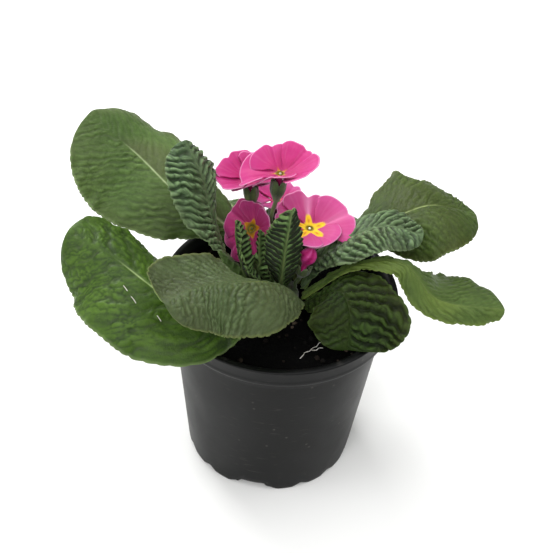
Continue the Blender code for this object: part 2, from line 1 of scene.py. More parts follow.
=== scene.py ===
# %% [markdown]
# # A potted primrose
# This lesson dresses a finished CAD model of a pot primrose: a black nursery pot, damp compost, a
# rosette of puckered leaves and a tuft of pink flowers. The CAD model is loaded as a fixed frame,
# and each visible part gets a surface worked out with numpy in the same place. Shapes are written
# in millimetres, because a grower would measure them so, and become metres in the mesh.

# %% Load the frame
import json
import math

import bmesh
import bpy
import numpy as np
from mathutils import Matrix, Vector

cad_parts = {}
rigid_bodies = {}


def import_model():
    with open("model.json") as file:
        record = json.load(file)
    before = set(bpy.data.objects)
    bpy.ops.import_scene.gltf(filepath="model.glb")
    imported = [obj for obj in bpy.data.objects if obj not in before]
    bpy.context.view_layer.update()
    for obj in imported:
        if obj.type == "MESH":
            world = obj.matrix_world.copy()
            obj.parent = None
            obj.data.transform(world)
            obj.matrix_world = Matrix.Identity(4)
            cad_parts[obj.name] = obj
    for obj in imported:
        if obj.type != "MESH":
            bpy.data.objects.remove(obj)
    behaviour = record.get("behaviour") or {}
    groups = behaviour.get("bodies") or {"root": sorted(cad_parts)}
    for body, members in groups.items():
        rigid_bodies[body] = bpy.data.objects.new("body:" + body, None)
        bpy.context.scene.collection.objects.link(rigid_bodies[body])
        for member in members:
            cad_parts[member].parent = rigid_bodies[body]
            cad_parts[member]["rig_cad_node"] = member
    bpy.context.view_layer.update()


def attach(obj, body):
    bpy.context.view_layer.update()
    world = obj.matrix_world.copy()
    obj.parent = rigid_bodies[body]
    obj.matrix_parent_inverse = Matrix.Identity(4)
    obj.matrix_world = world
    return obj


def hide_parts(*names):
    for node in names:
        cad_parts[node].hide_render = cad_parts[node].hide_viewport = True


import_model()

# %% [markdown]
# ## Camera
# The photograph looks down on the plant by about 42 degrees with a short telephoto lens, tilted a
# little to one side. The camera aims near the middle of the pot's rim. It is set up from those
# numbers, so that each can be read and changed, instead of from a matrix.

# %% Camera
POT_HEIGHT = 92.0
IMAGE_SIZE = 553
FOCAL_PIXELS = 1100
CAMERA_DISTANCE = 485.4
CAMERA_ELEVATION = math.radians(41.85)
CAMERA_ROLL = math.radians(4.82)
# Pixels from the middle of the rim to the middle of the picture, sideways and upright.
AIM_SIDEWAYS = 4.8
AIM_UPRIGHT = 10.9


def turned_pair(a, b, angle):
    """Two perpendicular unit vectors, both turned by an angle in their own plane."""
    return a * math.cos(angle) + b * math.sin(angle), b * math.cos(angle) - a * math.sin(angle)


camera_data = bpy.data.cameras.new("camera")
camera = bpy.data.objects.new("camera", camera_data)
bpy.context.scene.collection.objects.link(camera)
bpy.context.scene.camera = camera
camera_data.sensor_width = 36
camera_data.lens = FOCAL_PIXELS / IMAGE_SIZE * camera_data.sensor_width
camera_data.clip_start = 0.01
level = np.array([1.0, 0, 0])
backward = np.array([0, -math.cos(CAMERA_ELEVATION), math.sin(CAMERA_ELEVATION)])
forward, right = turned_pair(-backward, level, -math.atan(AIM_SIDEWAYS / FOCAL_PIXELS))
forward, up = turned_pair(forward, np.cross(level, -backward), math.atan(AIM_UPRIGHT / FOCAL_PIXELS))
right, up = turned_pair(right, up, CAMERA_ROLL)
spot = np.array([0, 0, POT_HEIGHT]) + backward * CAMERA_DISTANCE
pose = np.eye(4)
pose[:3, 0], pose[:3, 1], pose[:3, 2], pose[:3, 3] = right, up, -forward, spot / 1000
camera.matrix_world = Matrix(pose.tolist())
print("camera stands", np.round(spot), "mm from the pot's foot, lens", round(camera_data.lens, 1), "mm")

# %% [markdown]
# ## Materials from nodes
# A material is a small network: patterns give numbers, a ramp turns a number into a colour, and
# the shader turns colour, roughness and bumps into light. Colours are written as a screen shows
# them and turned to the linear values that the renderer adds and multiplies. One function adds a
# node with its settings and links, because all nodes are added alike.

# %% Colour and node helpers
def linear(hex_colour, alpha=1.0):
    """sRGB hex to linear RGBA: the usual curve, straight near black and a power of 2.4 above."""
    c = np.array([int(hex_colour[i:i + 2], 16) for i in (1, 3, 5)]) / 255
    c = np.where(c <= 0.04045, c / 12.92, ((c + 0.055) / 1.055) ** 2.4)
    return (*[float(v) for v in c], alpha)


def per_metre(size):
    """Scale of a pattern whose grain is this many millimetres across."""
    return 1000 / size


def add(tree, kind, settings=None, inputs=None):
    """Adds a node, sets its properties, and sets or links each input that is given.

    An input is a value, or a pair (node, output name) to link from.
    """
    node = tree.nodes.new(kind)
    for key, value in (settings or {}).items():
        setattr(node, key, value)
    for key, value in (inputs or {}).items():
        if isinstance(value, tuple) and isinstance(value[0], bpy.types.Node):
            tree.links.new(value[0].outputs[value[1]], node.inputs[key])
        else:
            node.inputs[key].default_value = value
    return node


def ramp(tree, source, stops):
    """A colour ramp through (place, hex colour) stops."""
    node = add(tree, "ShaderNodeValToRGB", inputs={"Fac": source})
    elements = node.color_ramp.elements
    while len(elements) < len(stops):
        elements.new(0.5)
    for element, (place, colour) in zip(elements, stops):
        element.position = place
        element.color = linear(colour)
    return node


def new_material(name):
    """An empty material: its tree, and a node for Object coordinates."""
    mat = bpy.data.materials.new(name)
    mat.use_nodes = True
    mat.node_tree.nodes.clear()
    return mat, mat.node_tree, add(mat.node_tree, "ShaderNodeTexCoord")


def shade(mat, values, links):
    """Gives a material its shader: values for the uniform sockets, (node, output) for the rest."""
    shader = add(mat.node_tree, "ShaderNodeBsdfPrincipled", inputs={**values, **links})
    add(mat.node_tree, "ShaderNodeOutputMaterial", inputs={"Surface": (shader, "BSDF")})
    print(mat.name, "has", len(mat.node_tree.nodes), "nodes")
    return mat


print("mid grey #808080 is", round(linear("#808080")[0], 3), "of white in linear light")

# %% [markdown]
# ## Meshes from arrays
# Every surface here is a grid of points: rows along it and columns across or round it. Numpy works
# the points out as whole arrays, and the mesh takes them in one go, which is far quicker than a
# point at a time. Where the ends of a grid meet at a pole, the points there are welded into one.

# %% Grids of quads
def full_turn(count):
    """Angles of even steps round a circle, without the last one, which would repeat the first."""
    return np.linspace(0, 2 * math.pi, count + 1)[:-1]


def rings(radius, height, angle):
    """Rings of points round the z axis, from radii and heights with one row for each ring."""
    return np.stack([radius * np.cos(angle), radius * np.sin(angle), height + 0 * angle], -1)


def quads_of(rows, columns, wrap=False, first=0):
    """Quads of a grid of points that is stored row by row, closed into a tube if wrap is set."""
    i = np.arange(rows - 1)[:, None]
    j = np.arange(columns if wrap else columns - 1)[None, :]
    k = (j + 1) % columns
    corners = [i * columns + j, (i + 1) * columns + j, (i + 1) * columns + k, i * columns + k]
    return first + np.stack([c * np.ones_like(i + j) for c in corners], -1).reshape(-1, 4)


def tube_quads(rows, columns, first=0):
    """Quads of rings that are stored from one end to the other, facing outwards."""
    return quads_of(rows, columns, wrap=True, first=first)[:, ::-1]


def shell(upper, lower):
    """Points and quads of the closed shell between two grids, and the quads in each part of it.

    The parts are the upper side, the lower side turned over, and the rim that joins their edges.
    """
    rows, columns = upper.shape[:2]
    top = quads_of(rows, columns)
    index = np.arange(rows * columns).reshape(rows, columns)
    rim = []
    for edge, turn in ((index[:, 0], 1), (index[:, -1], -1), (index[0], -1), (index[-1], 1)):
        other = edge + rows * columns
        rim.append(np.stack([edge[:-1], other[:-1], other[1:], edge[1:]], 1)[:, ::turn])
    parts = [top, top[:, ::-1] + rows * columns, np.concatenate(rim)]
    points = np.concatenate([upper.reshape(-1, 3), lower.reshape(-1, 3)])
    return points, np.concatenate(parts), [len(part) for part in parts]


print("a grid of 3 by 4 points has", len(quads_of(3, 4)), "quads, and", len(tube_quads(3, 4)), "as a tube")

# %% [markdown]
# ## A piece of the plant
# A piece is a mesh object that stands at the origin with its place in its points, so that patterns
# on it never slide. It can carry attributes, which are numbers at each point that a material
# reads, such as how near a point is to a vein.

# %% Make and settle a piece
def make_piece(name, points, quads, materials, slot_of_face=None, attributes=None, uv=None):
    """A mesh object from points in millimetres and quads. Points at one place are welded."""
    points = np.asarray(points).reshape(-1, 3) * 0.001
    mesh = bpy.data.meshes.new(name)
    mesh.vertices.add(len(points))
    mesh.vertices.foreach_set("co", points.astype(np.float32).ravel())
    mesh.loops.add(quads.size)
    mesh.loops.foreach_set("vertex_index", quads.ravel().astype(np.int32))
    mesh.polygons.add(len(quads))
    mesh.polygons.foreach_set("loop_start", np.arange(0, quads.size, 4, dtype=np.int32))
    mesh.polygons.foreach_set("loop_total", np.full(len(quads), 4, dtype=np.int32))
    for mat in materials:
        mesh.materials.append(mat)
    if slot_of_face is not None:
        mesh.polygons.foreach_set("material_index", np.asarray(slot_of_face, dtype=np.int32))
    for key, values in (attributes or {}).items():
        layer = mesh.attributes.new(key, "FLOAT", "POINT")
        layer.data.foreach_set("value", np.asarray(values, dtype=np.float32).ravel())
    if uv is not None:
        layer = mesh.uv_layers.new(name="surface")
        layer.data.foreach_set("uv", np.asarray(uv)[quads.ravel()].astype(np.float32).ravel())
    mesh.polygons.foreach_set("use_smooth", np.ones(len(quads), dtype=bool))
    mesh.update(calc_edges=True)
    bm = bmesh.new()
    bm.from_mesh(mesh)
    bmesh.ops.remove_doubles(bm, verts=bm.verts, dist=2e-6)
    bm.to_mesh(mesh)
    bm.free()
    mesh.validate()
    piece = bpy.data.objects.new(name, mesh)
    bpy.context.scene.collection.objects.link(piece)
    return piece


def settle(piece, node=None):
    """Attaches a piece to the root body, and hides the CAD node that it stands for, if any."""
    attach(piece, "root")
    if node:
        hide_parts(node)
    print(piece.name, "has", len(piece.data.polygons), "faces")
    return piece


# %% [markdown]
# ## Waves and cells
# Living surfaces are never quite smooth. A few sine waves added together in random directions make
# slow waves, and the distance to scattered points makes the cells that a leaf's net of veins
# encloses. Both are seeded, so the plant grows the same each time.

# %% Waves and cells
def ease(x, low, high):
    """0 below low, 1 above high and a smooth S between."""
    u = np.clip((x - low) / (high - low), 0, 1)
    return u * u * (3 - 2 * u)


def bell(x, reach):
    """Bell curve: 1 at 0, and a third of that at the reach."""
    return np.exp(-(x / reach) ** 2)


def waves(x, y, length, seed, count=7):
    """Sum of sine waves of about one length, in random directions, between about -1 and 1."""
    draw = np.random.default_rng(seed)
    total = 0
    for _ in range(count):
        angle, phase = draw.uniform(0, 2 * math.pi, 2)
        k = 2 * math.pi / (length * draw.uniform(0.7, 1.5))
        total = total + np.sin(k * (x * math.cos(angle) + y * math.sin(angle)) + phase)
    return total / math.sqrt(count * 1.2)


def cells(x, y, size, seed):
    """Distance to the nearest scattered point, and how much further the second nearest is.

    One point is drawn in each square of a grid. Both distances are in units of the square.
    """
    jitter = np.random.default_rng(seed).uniform(0.1, 0.9, (64, 64, 2))
    gx, gy = np.floor(x / size).astype(int), np.floor(y / size).astype(int)
    found = []
    for dx in (-1, 0, 1):
        for dy in (-1, 0, 1):
            spot = jitter[(gx + dx) % 64, (gy + dy) % 64]
            found.append(np.hypot(gx + dx + spot[..., 0] - x / size, gy + dy + spot[..., 1] - y / size))
    found = np.sort(np.stack(found), axis=0)
    return found[0], found[1] - found[0]


ruler = np.linspace(0, 100, 500)
print("waves run from", *np.round([waves(ruler, 0, 10, 1).min(), waves(ruler, 0, 10, 1).max()], 2))

# %% [markdown]
# ## Smooth paths
# Midribs, stalks and roots are bent tubes or sheets round a path. A given path has only four
# or five points, and a Catmull-Rom curve passes through all of them without a corner. The same
# curve reads a list of key values, such as how far a leaf has rolled at each quarter of its length.

# %% Paths
def between(values, s):
    """Smooth curve through evenly spaced key values, read at s from 0 to 1 (Catmull-Rom)."""
    values = np.asarray(values, float)
    last = len(values) - 1
    x = np.clip(s, 0, 1) * last
    i = np.minimum(x.astype(int), last - 1)
    f = x - i
    v = np.concatenate([[2 * values[0] - values[1]], values, [2 * values[-1] - values[-2]]])
    a, b, c, d = v[i], v[i + 1], v[i + 2], v[i + 3]
    return 0.5 * (2 * b + (c - a) * f + (2 * a - 5 * b + 4 * c - d) * f ** 2
                  + (3 * b - a - 3 * c + d) * f ** 3)


def curve(points, s):
    """Smooth curve through points in space, read at s from 0 to 1."""
    points = np.asarray(points, float)
    return np.stack([between(points[:, k], s) for k in range(3)], -1)


def frame_along(path, s):
    """Even steps along a path: places, directions, the level sideways direction and the length."""
    fine = np.linspace(0, 1, 401)
    track = curve(path, fine)
    length = np.concatenate([[0], np.cumsum(np.linalg.norm(np.diff(track, axis=0), axis=1))])
    u = np.interp(s * length[-1], length, fine)
    ahead = curve(path, np.minimum(u + 0.001, 1)) - curve(path, np.maximum(u - 0.001, 0))
    ahead /= np.linalg.norm(ahead, axis=-1, keepdims=True)
    side = np.stack([-ahead[..., 1], ahead[..., 0], np.zeros(u.shape)], -1)
    side /= np.linalg.norm(side, axis=-1, keepdims=True)
    return curve(path, u), ahead, side, length[-1]


print("an S of three points, read at its quarters:", between((0, 10, 0), np.linspace(0, 1, 5)))

# %% [markdown]
# ## The form of a leaf
# A primrose leaf is a strap that starts as a fleshy stalk, widens into a blade and ends blunt. Its
# midrib follows a smooth path in space. Each half of the blade leaves the midrib at a fold angle
# and bends by a curl angle, so a line across the leaf is two arcs. With a few key values along the
# leaf this gives every pose in the rosette: flat, hooded, arched or twisted.

# %% Leaf form
# What a leaf has unless its own values say otherwise. Each pair or list runs from root to tip, and
# a lobe is (side, place along, reach, share of the width), with 1 for left and -1 for right.
FORM = dict(left_width=(1, 1), right_width=(1, 1), right_share=(1, 1), lobes=())
# Half width of a leaf's stalk beside the crown, and how much it may grow for each millimetre.
STALK_HALF_WIDTH = 2.2
STALK_GROWTH = 0.5


def leaf_width(s, leaf):
    """Half width along the leaf: an S-shaped rise from the stalk, then a blunt, rounded end."""
    petiole, start, widest, tip = leaf["outline"]
    body = petiole + (1 - petiole) * ease(s, start, widest)
    beyond = np.clip((s - widest) / (1 - widest), 0, 1)
    return leaf["half_width"] * body * np.clip(1 - beyond ** tip, 0, 1) ** (1 / tip)


def leaf_sheet(leaf, s, t, teeth):
    """Middle sheet of a leaf. s runs from root to tip, t from -1 (right) to 1 (left).

    place + across * (sin(fold + curl a) - sin fold) / curl + normal * (its cosine twin), times
    the half width, where a = |t|. teeth adds a few tenths of a millimetre to the half width.
    """
    place, ahead, side, length = frame_along(leaf["midrib"], s)
    up = np.cross(ahead, side)
    roll = np.radians(between(leaf["roll"], s))[..., None]
    across = side * np.cos(roll) + up * np.sin(roll)
    normal = up * np.cos(roll) - side * np.sin(roll)
    left = t >= 0
    width = np.minimum(leaf_width(s, leaf), STALK_HALF_WIDTH + STALK_GROWTH * s * length)
    width = width * np.where(left, between(leaf["left_width"], s), between(leaf["right_width"], s))
    for turn, centre, reach, amount in leaf["lobes"]:
        width = width * (1 + amount * bell(s - centre, reach) * (t * turn > 0))
    width = width + teeth
    fold = np.radians(np.where(left, between(leaf["fold_left"], s), between(leaf["fold_right"], s)))
    curl = np.radians(np.where(left, between(leaf["curl_left"], s), between(leaf["curl_right"], s)))
    curl = np.where(np.abs(curl) < 1e-4, 1e-4, curl)
    a = np.abs(t)
    out = (np.sin(fold + curl * a) - np.sin(fold)) / curl * width
    rise = -(np.cos(fold + curl * a) - np.cos(fold)) / curl * width
    sign = np.where(left, 1.0, -between(leaf["right_share"], s))
    return place + across * (sign * out)[..., None] + normal * rise[..., None], width, length


def unit_normals(grid):
    """Normals of a grid of points from its central differences. An end takes its neighbour's."""
    n = np.cross(np.gradient(grid, axis=0), np.gradient(grid, axis=1))
    n[-1] = n[-2]
    n[0] = n[1]
    return n / np.maximum(np.linalg.norm(n, axis=-1, keepdims=True), 1e-12)


quarters = leaf_width(np.linspace(0, 1, 5), dict(outline=(0.1, 0.1, 0.6, 2.3), half_width=30))
print("half widths of a leaf at its quarters, mm:", np.round(quarters, 1))

# %% [markdown]
# ## The relief of a leaf
# What makes a primrose leaf a primrose leaf is its quilting. Side veins leave the midrib every few
# millimetres and bend forward, the blade swells between them, and a finer net of veins pinches it
# into blisters. A bump map would vanish at the leaf's edge and in its shadows, so the quilting is
# real geometry with about two points per millimetre, and only the finest grain is left to the
# material.

# %% Leaf relief
RELIEF = dict(
    mix=(0.6, 0.5),                   # shares of the side veins' ridges and of the net's domes
    vein_spacing=5.0, cell=3.4,       # mm between side veins and across a cell of the net
    lean=0.6, wander=0.3,             # how far side veins lean forward, and stray from even steps
    sharp=0.8, vary=0.35,             # shape of a ridge, and how uneven the quilting's strength is
    sides=(1.0, 1.0),                 # strength of the quilting left and right
    relief=0.9, swell=0.5, ruffle=0.5,  # mm: quilting, slow swells and the waves of the edge
    # How broad and how clear the pale midrib is, and the place along the leaf where it fades.
    midrib_width=0.8, midrib_shows=1.0, midrib_ends=1.05,
    # How far each side has turned to the warm colour, and the stretch over which that fades.
    warm_sides=(1, 1), warm_until=(1.1, 1.2))


def quilting(leaf, s, t, width, length):
    """How high the quilt stands, from 0 to 1, its strength, and the distance to vein and net.

    The flow is the distance along the midrib less a share (the lean) of the distance from it, bent
    by slow waves, so side veins are its even steps. The blade stands highest between two veins, as
    |sine| does, and a net of cells in rows between the veins adds domes.
    """
    seed, mix, spacing, cell = (leaf[key] for key in ("seed", "mix", "vein_spacing", "cell"))
    side = np.where(t >= 0, 0.0, 0.5)
    along, out = s * length, np.abs(t) * width
    far = out + 200 * side
    bent = waves(along, far, 17, seed) + 0.45 * waves(along, far, 6, seed + 5)
    flow = along - leaf["lean"] * out + spacing * leaf["wander"] * bent
    number = flow / spacing + side
    ribs = np.abs(np.sin(np.pi * number)) ** leaf["sharp"]
    pushed = 0.25 * cell * waves(along, far, 5, seed + 7)
    _, net = cells(flow + 7 * side + pushed + 200, far * 0.7 + pushed + 200, cell, seed + 1)
    quilt = (mix[0] * ribs + mix[1] * ease(net, 0.0, 0.75)) / (mix[0] + mix[1])
    strength = 1 - leaf["vary"] + leaf["vary"] * np.clip(waves(along, far, 19, seed + 4), -1, 1)
    strength = strength * np.where(t >= 0, *leaf["sides"])
    return quilt, strength, np.abs(number - np.round(number)) * spacing, net


def leaf_relief(leaf, s, t, width, length):
    """Height of the upper side over the sheet in mm, and the fields that colour it, from 0 to 1.

    The height is the quilting, slow swells and waves of the edge, less a groove on the midrib.
    Fields: midrib, vein and crease say how near a point is to each, and warm where the leaf has aged.
    The crease field is painted shade in the creases, and the crest field, how high a point stands,
    is painted light on the crests and painted shade in the hollows.
    """
    seed, mix = leaf["seed"], leaf["mix"]
    along, out = s * length, np.abs(t) * width
    outward = out / np.maximum(width, 1.0)
    far = out + np.where(t >= 0, 0.0, 100.0)
    quilt, strength, near, net = quilting(leaf, s, t, width, length)
    body = ease(s, 0.04, 0.18) * ease(1 - s, 0.0, 0.04) * ease(out, 0.2, 1.8)
    height = leaf["relief"] * body * (1 - 0.5 * ease(outward, 0.8, 1.0)) * strength * (quilt - 0.6)
    slow = waves(along, out * np.sign(t + 1e-9), 26, seed + 2)
    height += leaf["swell"] * slow * ease(outward, 0.2, 1.0) * body
    frill = np.sin(2 * math.pi * along / 13 + seed) + 0.6 * np.sin(2 * math.pi * along / 7.3 + 2 * seed)
    height += leaf["ruffle"] * frill * ease(outward, 0.7, 1.0) * body
    height -= 0.6 * bell(out, 0.5 + 0.6 * (1 - s)) * ease(1 - s, 0.0, 0.3)
    midrib = bell(out, 0.25 + leaf["midrib_width"] * (1 - s) ** 1.5) * leaf["midrib_shows"]
    midrib = np.clip(midrib * (0.8 + 0.2 * waves(along, out, 5, seed)), 0, 1)
    # The crease field is painted shade: it is high in the grooves of the net and of the side veins, where
    # shade falls.
    crease = np.maximum(mix[1] * (1 - ease(net, 0.0, 0.25)), mix[0] * (1 - ease(near, 0.1, 0.7)))
    warm = 0.35 + 0.4 * waves(along, far, 33, seed + 9) + 0.6 * ease(outward, 0.75, 1.0)
    warm = np.clip(warm * np.where(t >= 0, *leaf["warm_sides"]), 0, 1)
    return height, dict(
        midrib=midrib * ease(leaf["midrib_ends"] - s, 0.0, 0.12),
        vein=bell(near, 0.45) * (1 - 0.7 * outward) * ease(s, 0.05, 0.2),
        crease=np.clip(crease * body * (0.3 + 0.7 * strength), 0, 1),
        # Painted light and shade: the higher the quilt stands, the lighter the green, so crests look lit
        # and hollows shaded.
        crest=0.5 + (quilt - 0.5) * body * strength,
        warm=warm * (1 - ease(s, *leaf["warm_until"])))


swatch = np.meshgrid(np.linspace(0.3, 0.7, 200), np.linspace(-1, 1, 200), indexing="ij")
depth = leaf_relief({**RELIEF, "seed": 0}, *swatch, 30.0, 100.0)[0]
print("a usual leaf is quilted", round(float(np.ptp(depth)), 1), "mm deep")

# %% [markdown]
# ## The shell of a leaf
# A blade is only half a millimetre thick, but it needs both sides: the upper one is quilted, and
# the lower one repeats it with a thick rib along the midrib and thinner ones under the side veins.
# The edge is cut into small teeth. The shell is made from the sheet by moving each point along its
# normal, and near the midrib all normals are the midrib's own, so that points don't cross there.

# %% Leaf shell
SHELL = dict(
    grid=(196, 83),                   # rows and columns of points on one side
    tooth=0.75, tooth_spacing=2.6,    # mm: depth of a tooth, and steps between teeth
    petiole=2.2, rib_spread=1.5)      # mm: thickness of the stalk, and how broad its rib starts
USUAL_LEAF = {**FORM, **RELIEF, **SHELL}
EDGE_THICKNESS = 0.22


def make_leaf(leaf, upper, under):
    """A leaf as a closed shell: the quilted sheet, its underside with a thick rib, and a rim.

    Rows crowd to the tip and columns to the midrib. Teeth are the root of |sine| of the length.
    """
    rows, columns = leaf["grid"]
    x = np.linspace(0, 1, rows)[:, None]
    u = np.linspace(-1, 1, columns)[None, :]
    s = (1 - (1 - x) ** 1.2) * np.ones_like(u)
    t = np.sign(u) * np.abs(u) ** 1.08 * np.ones_like(x)
    length = frame_along(leaf["midrib"], np.zeros(1))[3]
    saw = (s * length / leaf["tooth_spacing"] + 0.2 * np.sin(s * 60 + leaf["seed"])) % 1
    at_edge = ease(np.abs(t), 0.86, 1.0) * ease(s, 0.1, 0.3) * ease(1 - s, 0.0, 0.02)
    teeth = leaf["tooth"] * (np.sqrt(np.abs(np.sin(np.pi * saw))) - 0.7) * at_edge
    sheet, width, length = leaf_sheet(leaf, s, t, teeth)
    near = bell(t * width, 0.8)[..., None]
    normal = unit_normals(sheet)
    normal = normal * (1 - near) + normal[:, columns // 2, None] * near
    normal /= np.linalg.norm(normal, axis=-1, keepdims=True)
    height, fields = leaf_relief(leaf, s, t, width, length)
    out = np.abs(t) * width
    rib = (leaf["petiole"] - 0.4) * (1 - s) ** 1.6 + 0.35 * ease(1 - s, 0.0, 0.2)
    rib = rib * bell(out, 0.55 + leaf["rib_spread"] * (1 - s) ** 1.3)
    side_rib = 0.35 * fields["vein"] * ease(out, 1.0, 3.0)
    thickness = EDGE_THICKNESS + 0.26 * (1 - ease(np.abs(t), 0.85, 1.0)) + rib + side_rib
    thickness[-1] = EDGE_THICKNESS
    upper_side = sheet + normal * (height + 0.2)[..., None]
    points, quads, sizes = shell(upper_side, upper_side - normal * thickness[..., None])
    uv = np.stack([s * length, t * width], -1).reshape(-1, 2) / 100
    fields["margin"] = ease(np.abs(t), 0.94, 1.0)
    both = {key: np.concatenate([value.ravel()] * 2) for key, value in fields.items()}
    return make_piece(leaf["name"] + "_blade", points, quads, [upper, under],
                      np.repeat([0, 1, 0], sizes), both, np.concatenate([uv, uv]))


print("a usual leaf has", 2 * SHELL["grid"][0] * SHELL["grid"][1], "points")

# %% [markdown]
# ## Leaf finish
# A primrose leaf is soft and finely hairy. Its upper side is a broken green, paler on the veins,
# with a greyish bloom where the hairs catch the light; its crests are painted lighter and its
# hollows and creases darker, as painted light and shade. The underside is paler and duller, and
# the ribs there are almost white. The blade is thin enough to glow a little with light from
# behind, which a small subsurface share gives.
#
# The relief's fields are read as attributes, so that colour and form agree at every vein. Each
# plant's leaves differ in age and shade, and one function with a few colours makes them all.

# %% Leaf finish
def attribute(tree, name):
    """The output of an attribute node, for a link."""
    return add(tree, "ShaderNodeAttribute", {"attribute_name": name}), "Fac"


def blend(tree, base, colour, name, share):
    """Mixes a colour over the base where an attribute is high, up to a share."""
    amount = add(tree, "ShaderNodeMath", {"operation": "MULTIPLY", "use_clamp": True},
                 {0: attribute(tree, name), 1: share})
    mixed = add(tree, "ShaderNodeMix", {"data_type": "RGBA"},
                {0: (amount, 0), 6: base, 7: linear(colour)})
    return mixed, 2


def leaf_finish(name, deep, dark, light, rib, warm, crests=0.5, crease_shade=0.6, shine=0.3,
                sheen=0.1, roughness=0.5):
    """Broken green: painted light on the crests, painted shade in the hollows, deeper painted shade in the
    creases, and a pale midrib.

    crests is the share of the quilting's height in the tone, which paints light on the crests and
    shade in the hollows, and the rest is two sizes of noise: clouds 28 mm across, and spots of
    2.4 mm, about as wide as a cell of the net. The share after crests is how strongly the deep
    colour paints shade into the creases. A waxy leaf has an IOR of about 1.42. The hairs are finer
    than a pixel, so they are a grain of 0.7 mm in the bump and a sheen.
    """
    mat, tree, place = new_material(name)
    slow = add(tree, "ShaderNodeTexNoise", {},
               {"Vector": (place, "Object"), "Scale": per_metre(27.8), "Detail": 3.0, "Roughness": 0.55})
    fine = add(tree, "ShaderNodeTexNoise", {},
               {"Vector": (place, "Object"), "Scale": per_metre(2.38), "Detail": 3.0, "Roughness": 0.6})
    noise = add(tree, "ShaderNodeMix", {"data_type": "FLOAT"},
                {0: 0.42, 2: (slow, "Fac"), 3: (fine, "Fac")})
    # Painted light and shade: the quilt's height lightens the green on the crests and darkens it in the
    # hollows.
    tone = add(tree, "ShaderNodeMix", {"data_type": "FLOAT"},
               {0: crests, 2: (noise, 0), 3: attribute(tree, "crest")})
    green = ramp(tree, (tone, 0), [(0.2, deep), (0.42, dark), (0.66, light)])
    colour = blend(tree, (green, "Color"), warm, "warm", 0.55)
    # Painted shade: the deep colour darkens the creases.
    colour = blend(tree, colour, deep, "crease", crease_shade)
    colour = blend(tree, colour, rib, "vein", 0.08)
    colour = blend(tree, colour, rib, "midrib", 0.9)
    colour = blend(tree, colour, rib, "margin", 0.25)
    hair = add(tree, "ShaderNodeTexNoise", {},
               {"Vector": (place, "Object"), "Scale": per_metre(0.667), "Detail": 2.0})
    bump = add(tree, "ShaderNodeBump", {},
               {"Height": (hair, "Fac"), "Strength": 0.3, "Distance": 0.0006})
    rough = add(tree, "ShaderNodeMapRange", {},
                {"Value": (fine, "Fac"), "From Min": 0.3, "From Max": 0.7,
                 "To Min": roughness - 0.08, "To Max": roughness + 0.1})
    return shade(mat, {"IOR": 1.42, "Specular IOR Level": shine, "Sheen Weight": sheen,
                       "Sheen Roughness": 0.4, "Sheen Tint": linear("#d3e2b4"),
                       "Subsurface Weight": 0.08, "Subsurface Radius": (0.5, 1.0, 0.2),
                       "Subsurface Scale": 0.001},
                 {"Base Color": colour, "Roughness": (rough, 0), "Normal": (bump, 0)})


# Deep, dark and light green, rib and warm colour, then crests (painted light and shade by height), the
# share of painted crease shade, shine, sheen and roughness.
UPPER = {
    "pale": leaf_finish("primrose leaf, pale", "#1e3010", "#3c5322", "#5c763d", "#b4c494",
                        "#4c4c32", 0.3, 0.55, 0.25, 0.06),
    "arch": leaf_finish("primrose leaf, pale and thin", "#26360f", "#3a4e20", "#566b35", "#a3b066",
                        "#6f8238", 0.3, 0.55, 0.25, 0.06),
    "blue": leaf_finish("primrose leaf, puckered", "#0c1a09", "#2c4126", "#708a60", "#8aa070",
                        "#464f34", 0.55, 0.75, 0.25, 0.12),
    "fresh": leaf_finish("primrose leaf, fresh", "#12230a", "#2c440a", "#4e6c20", "#a4b87c",
                         "#284200", 0.3, 0.65, 0.3, 0.02, 0.47),
    "older": leaf_finish("primrose leaf, older", "#1b2b0c", "#314218", "#4c602c", "#98a86c",
                         "#464a22", 0.3, 0.6, 0.2, 0.05),
    "grey": leaf_finish("primrose leaf, downy", "#16230e", "#324120", "#53633f", "#8c9450",
                        "#3d432a", 0.42, 0.65, 0.2, 0.07),
    "dark": leaf_finish("primrose leaf, shaded", "#020600", "#101c05", "#30431a", "#57703a",
                        "#2c3210", 0.65, 0.85, 0.12, 0.02),
    # The young leaves have the strongest painted light on their crests and painted shade in their grooves.
    "young": leaf_finish("young primrose leaf", "#020601", "#0c1e07", "#7a9a5c", "#8f9c62",
                         "#15230c", 0.9, 0.85, 0.2, 0.06),
}
UNDER = leaf_finish("primrose leaf, underside", "#3c4f28", "#56703c", "#728b54", "#a9b884",
                    "#66743c", 0.3, 0.3, 0.2, 0.12, 0.6)

# %% [markdown]
# ## The rosette
# Eleven grown leaves rise round the crown. The values of each are its midrib in space, how its two
# halves fold and curl, and how its width grows. They are the same values as the CAD model's, so
# that each blade lies where its solid does. An outline is the stalk's share of the half width,
# where the blade starts and is widest, and how blunt its tip is.

# %% Leaves of the rosette
ROOT_CIRCLE = 9.6


def crown_root(angle, height):
    """A leaf's root beside the crown."""
    a = math.radians(angle)
    return (ROOT_CIRCLE * math.cos(a), ROOT_CIRCLE * math.sin(a), height)


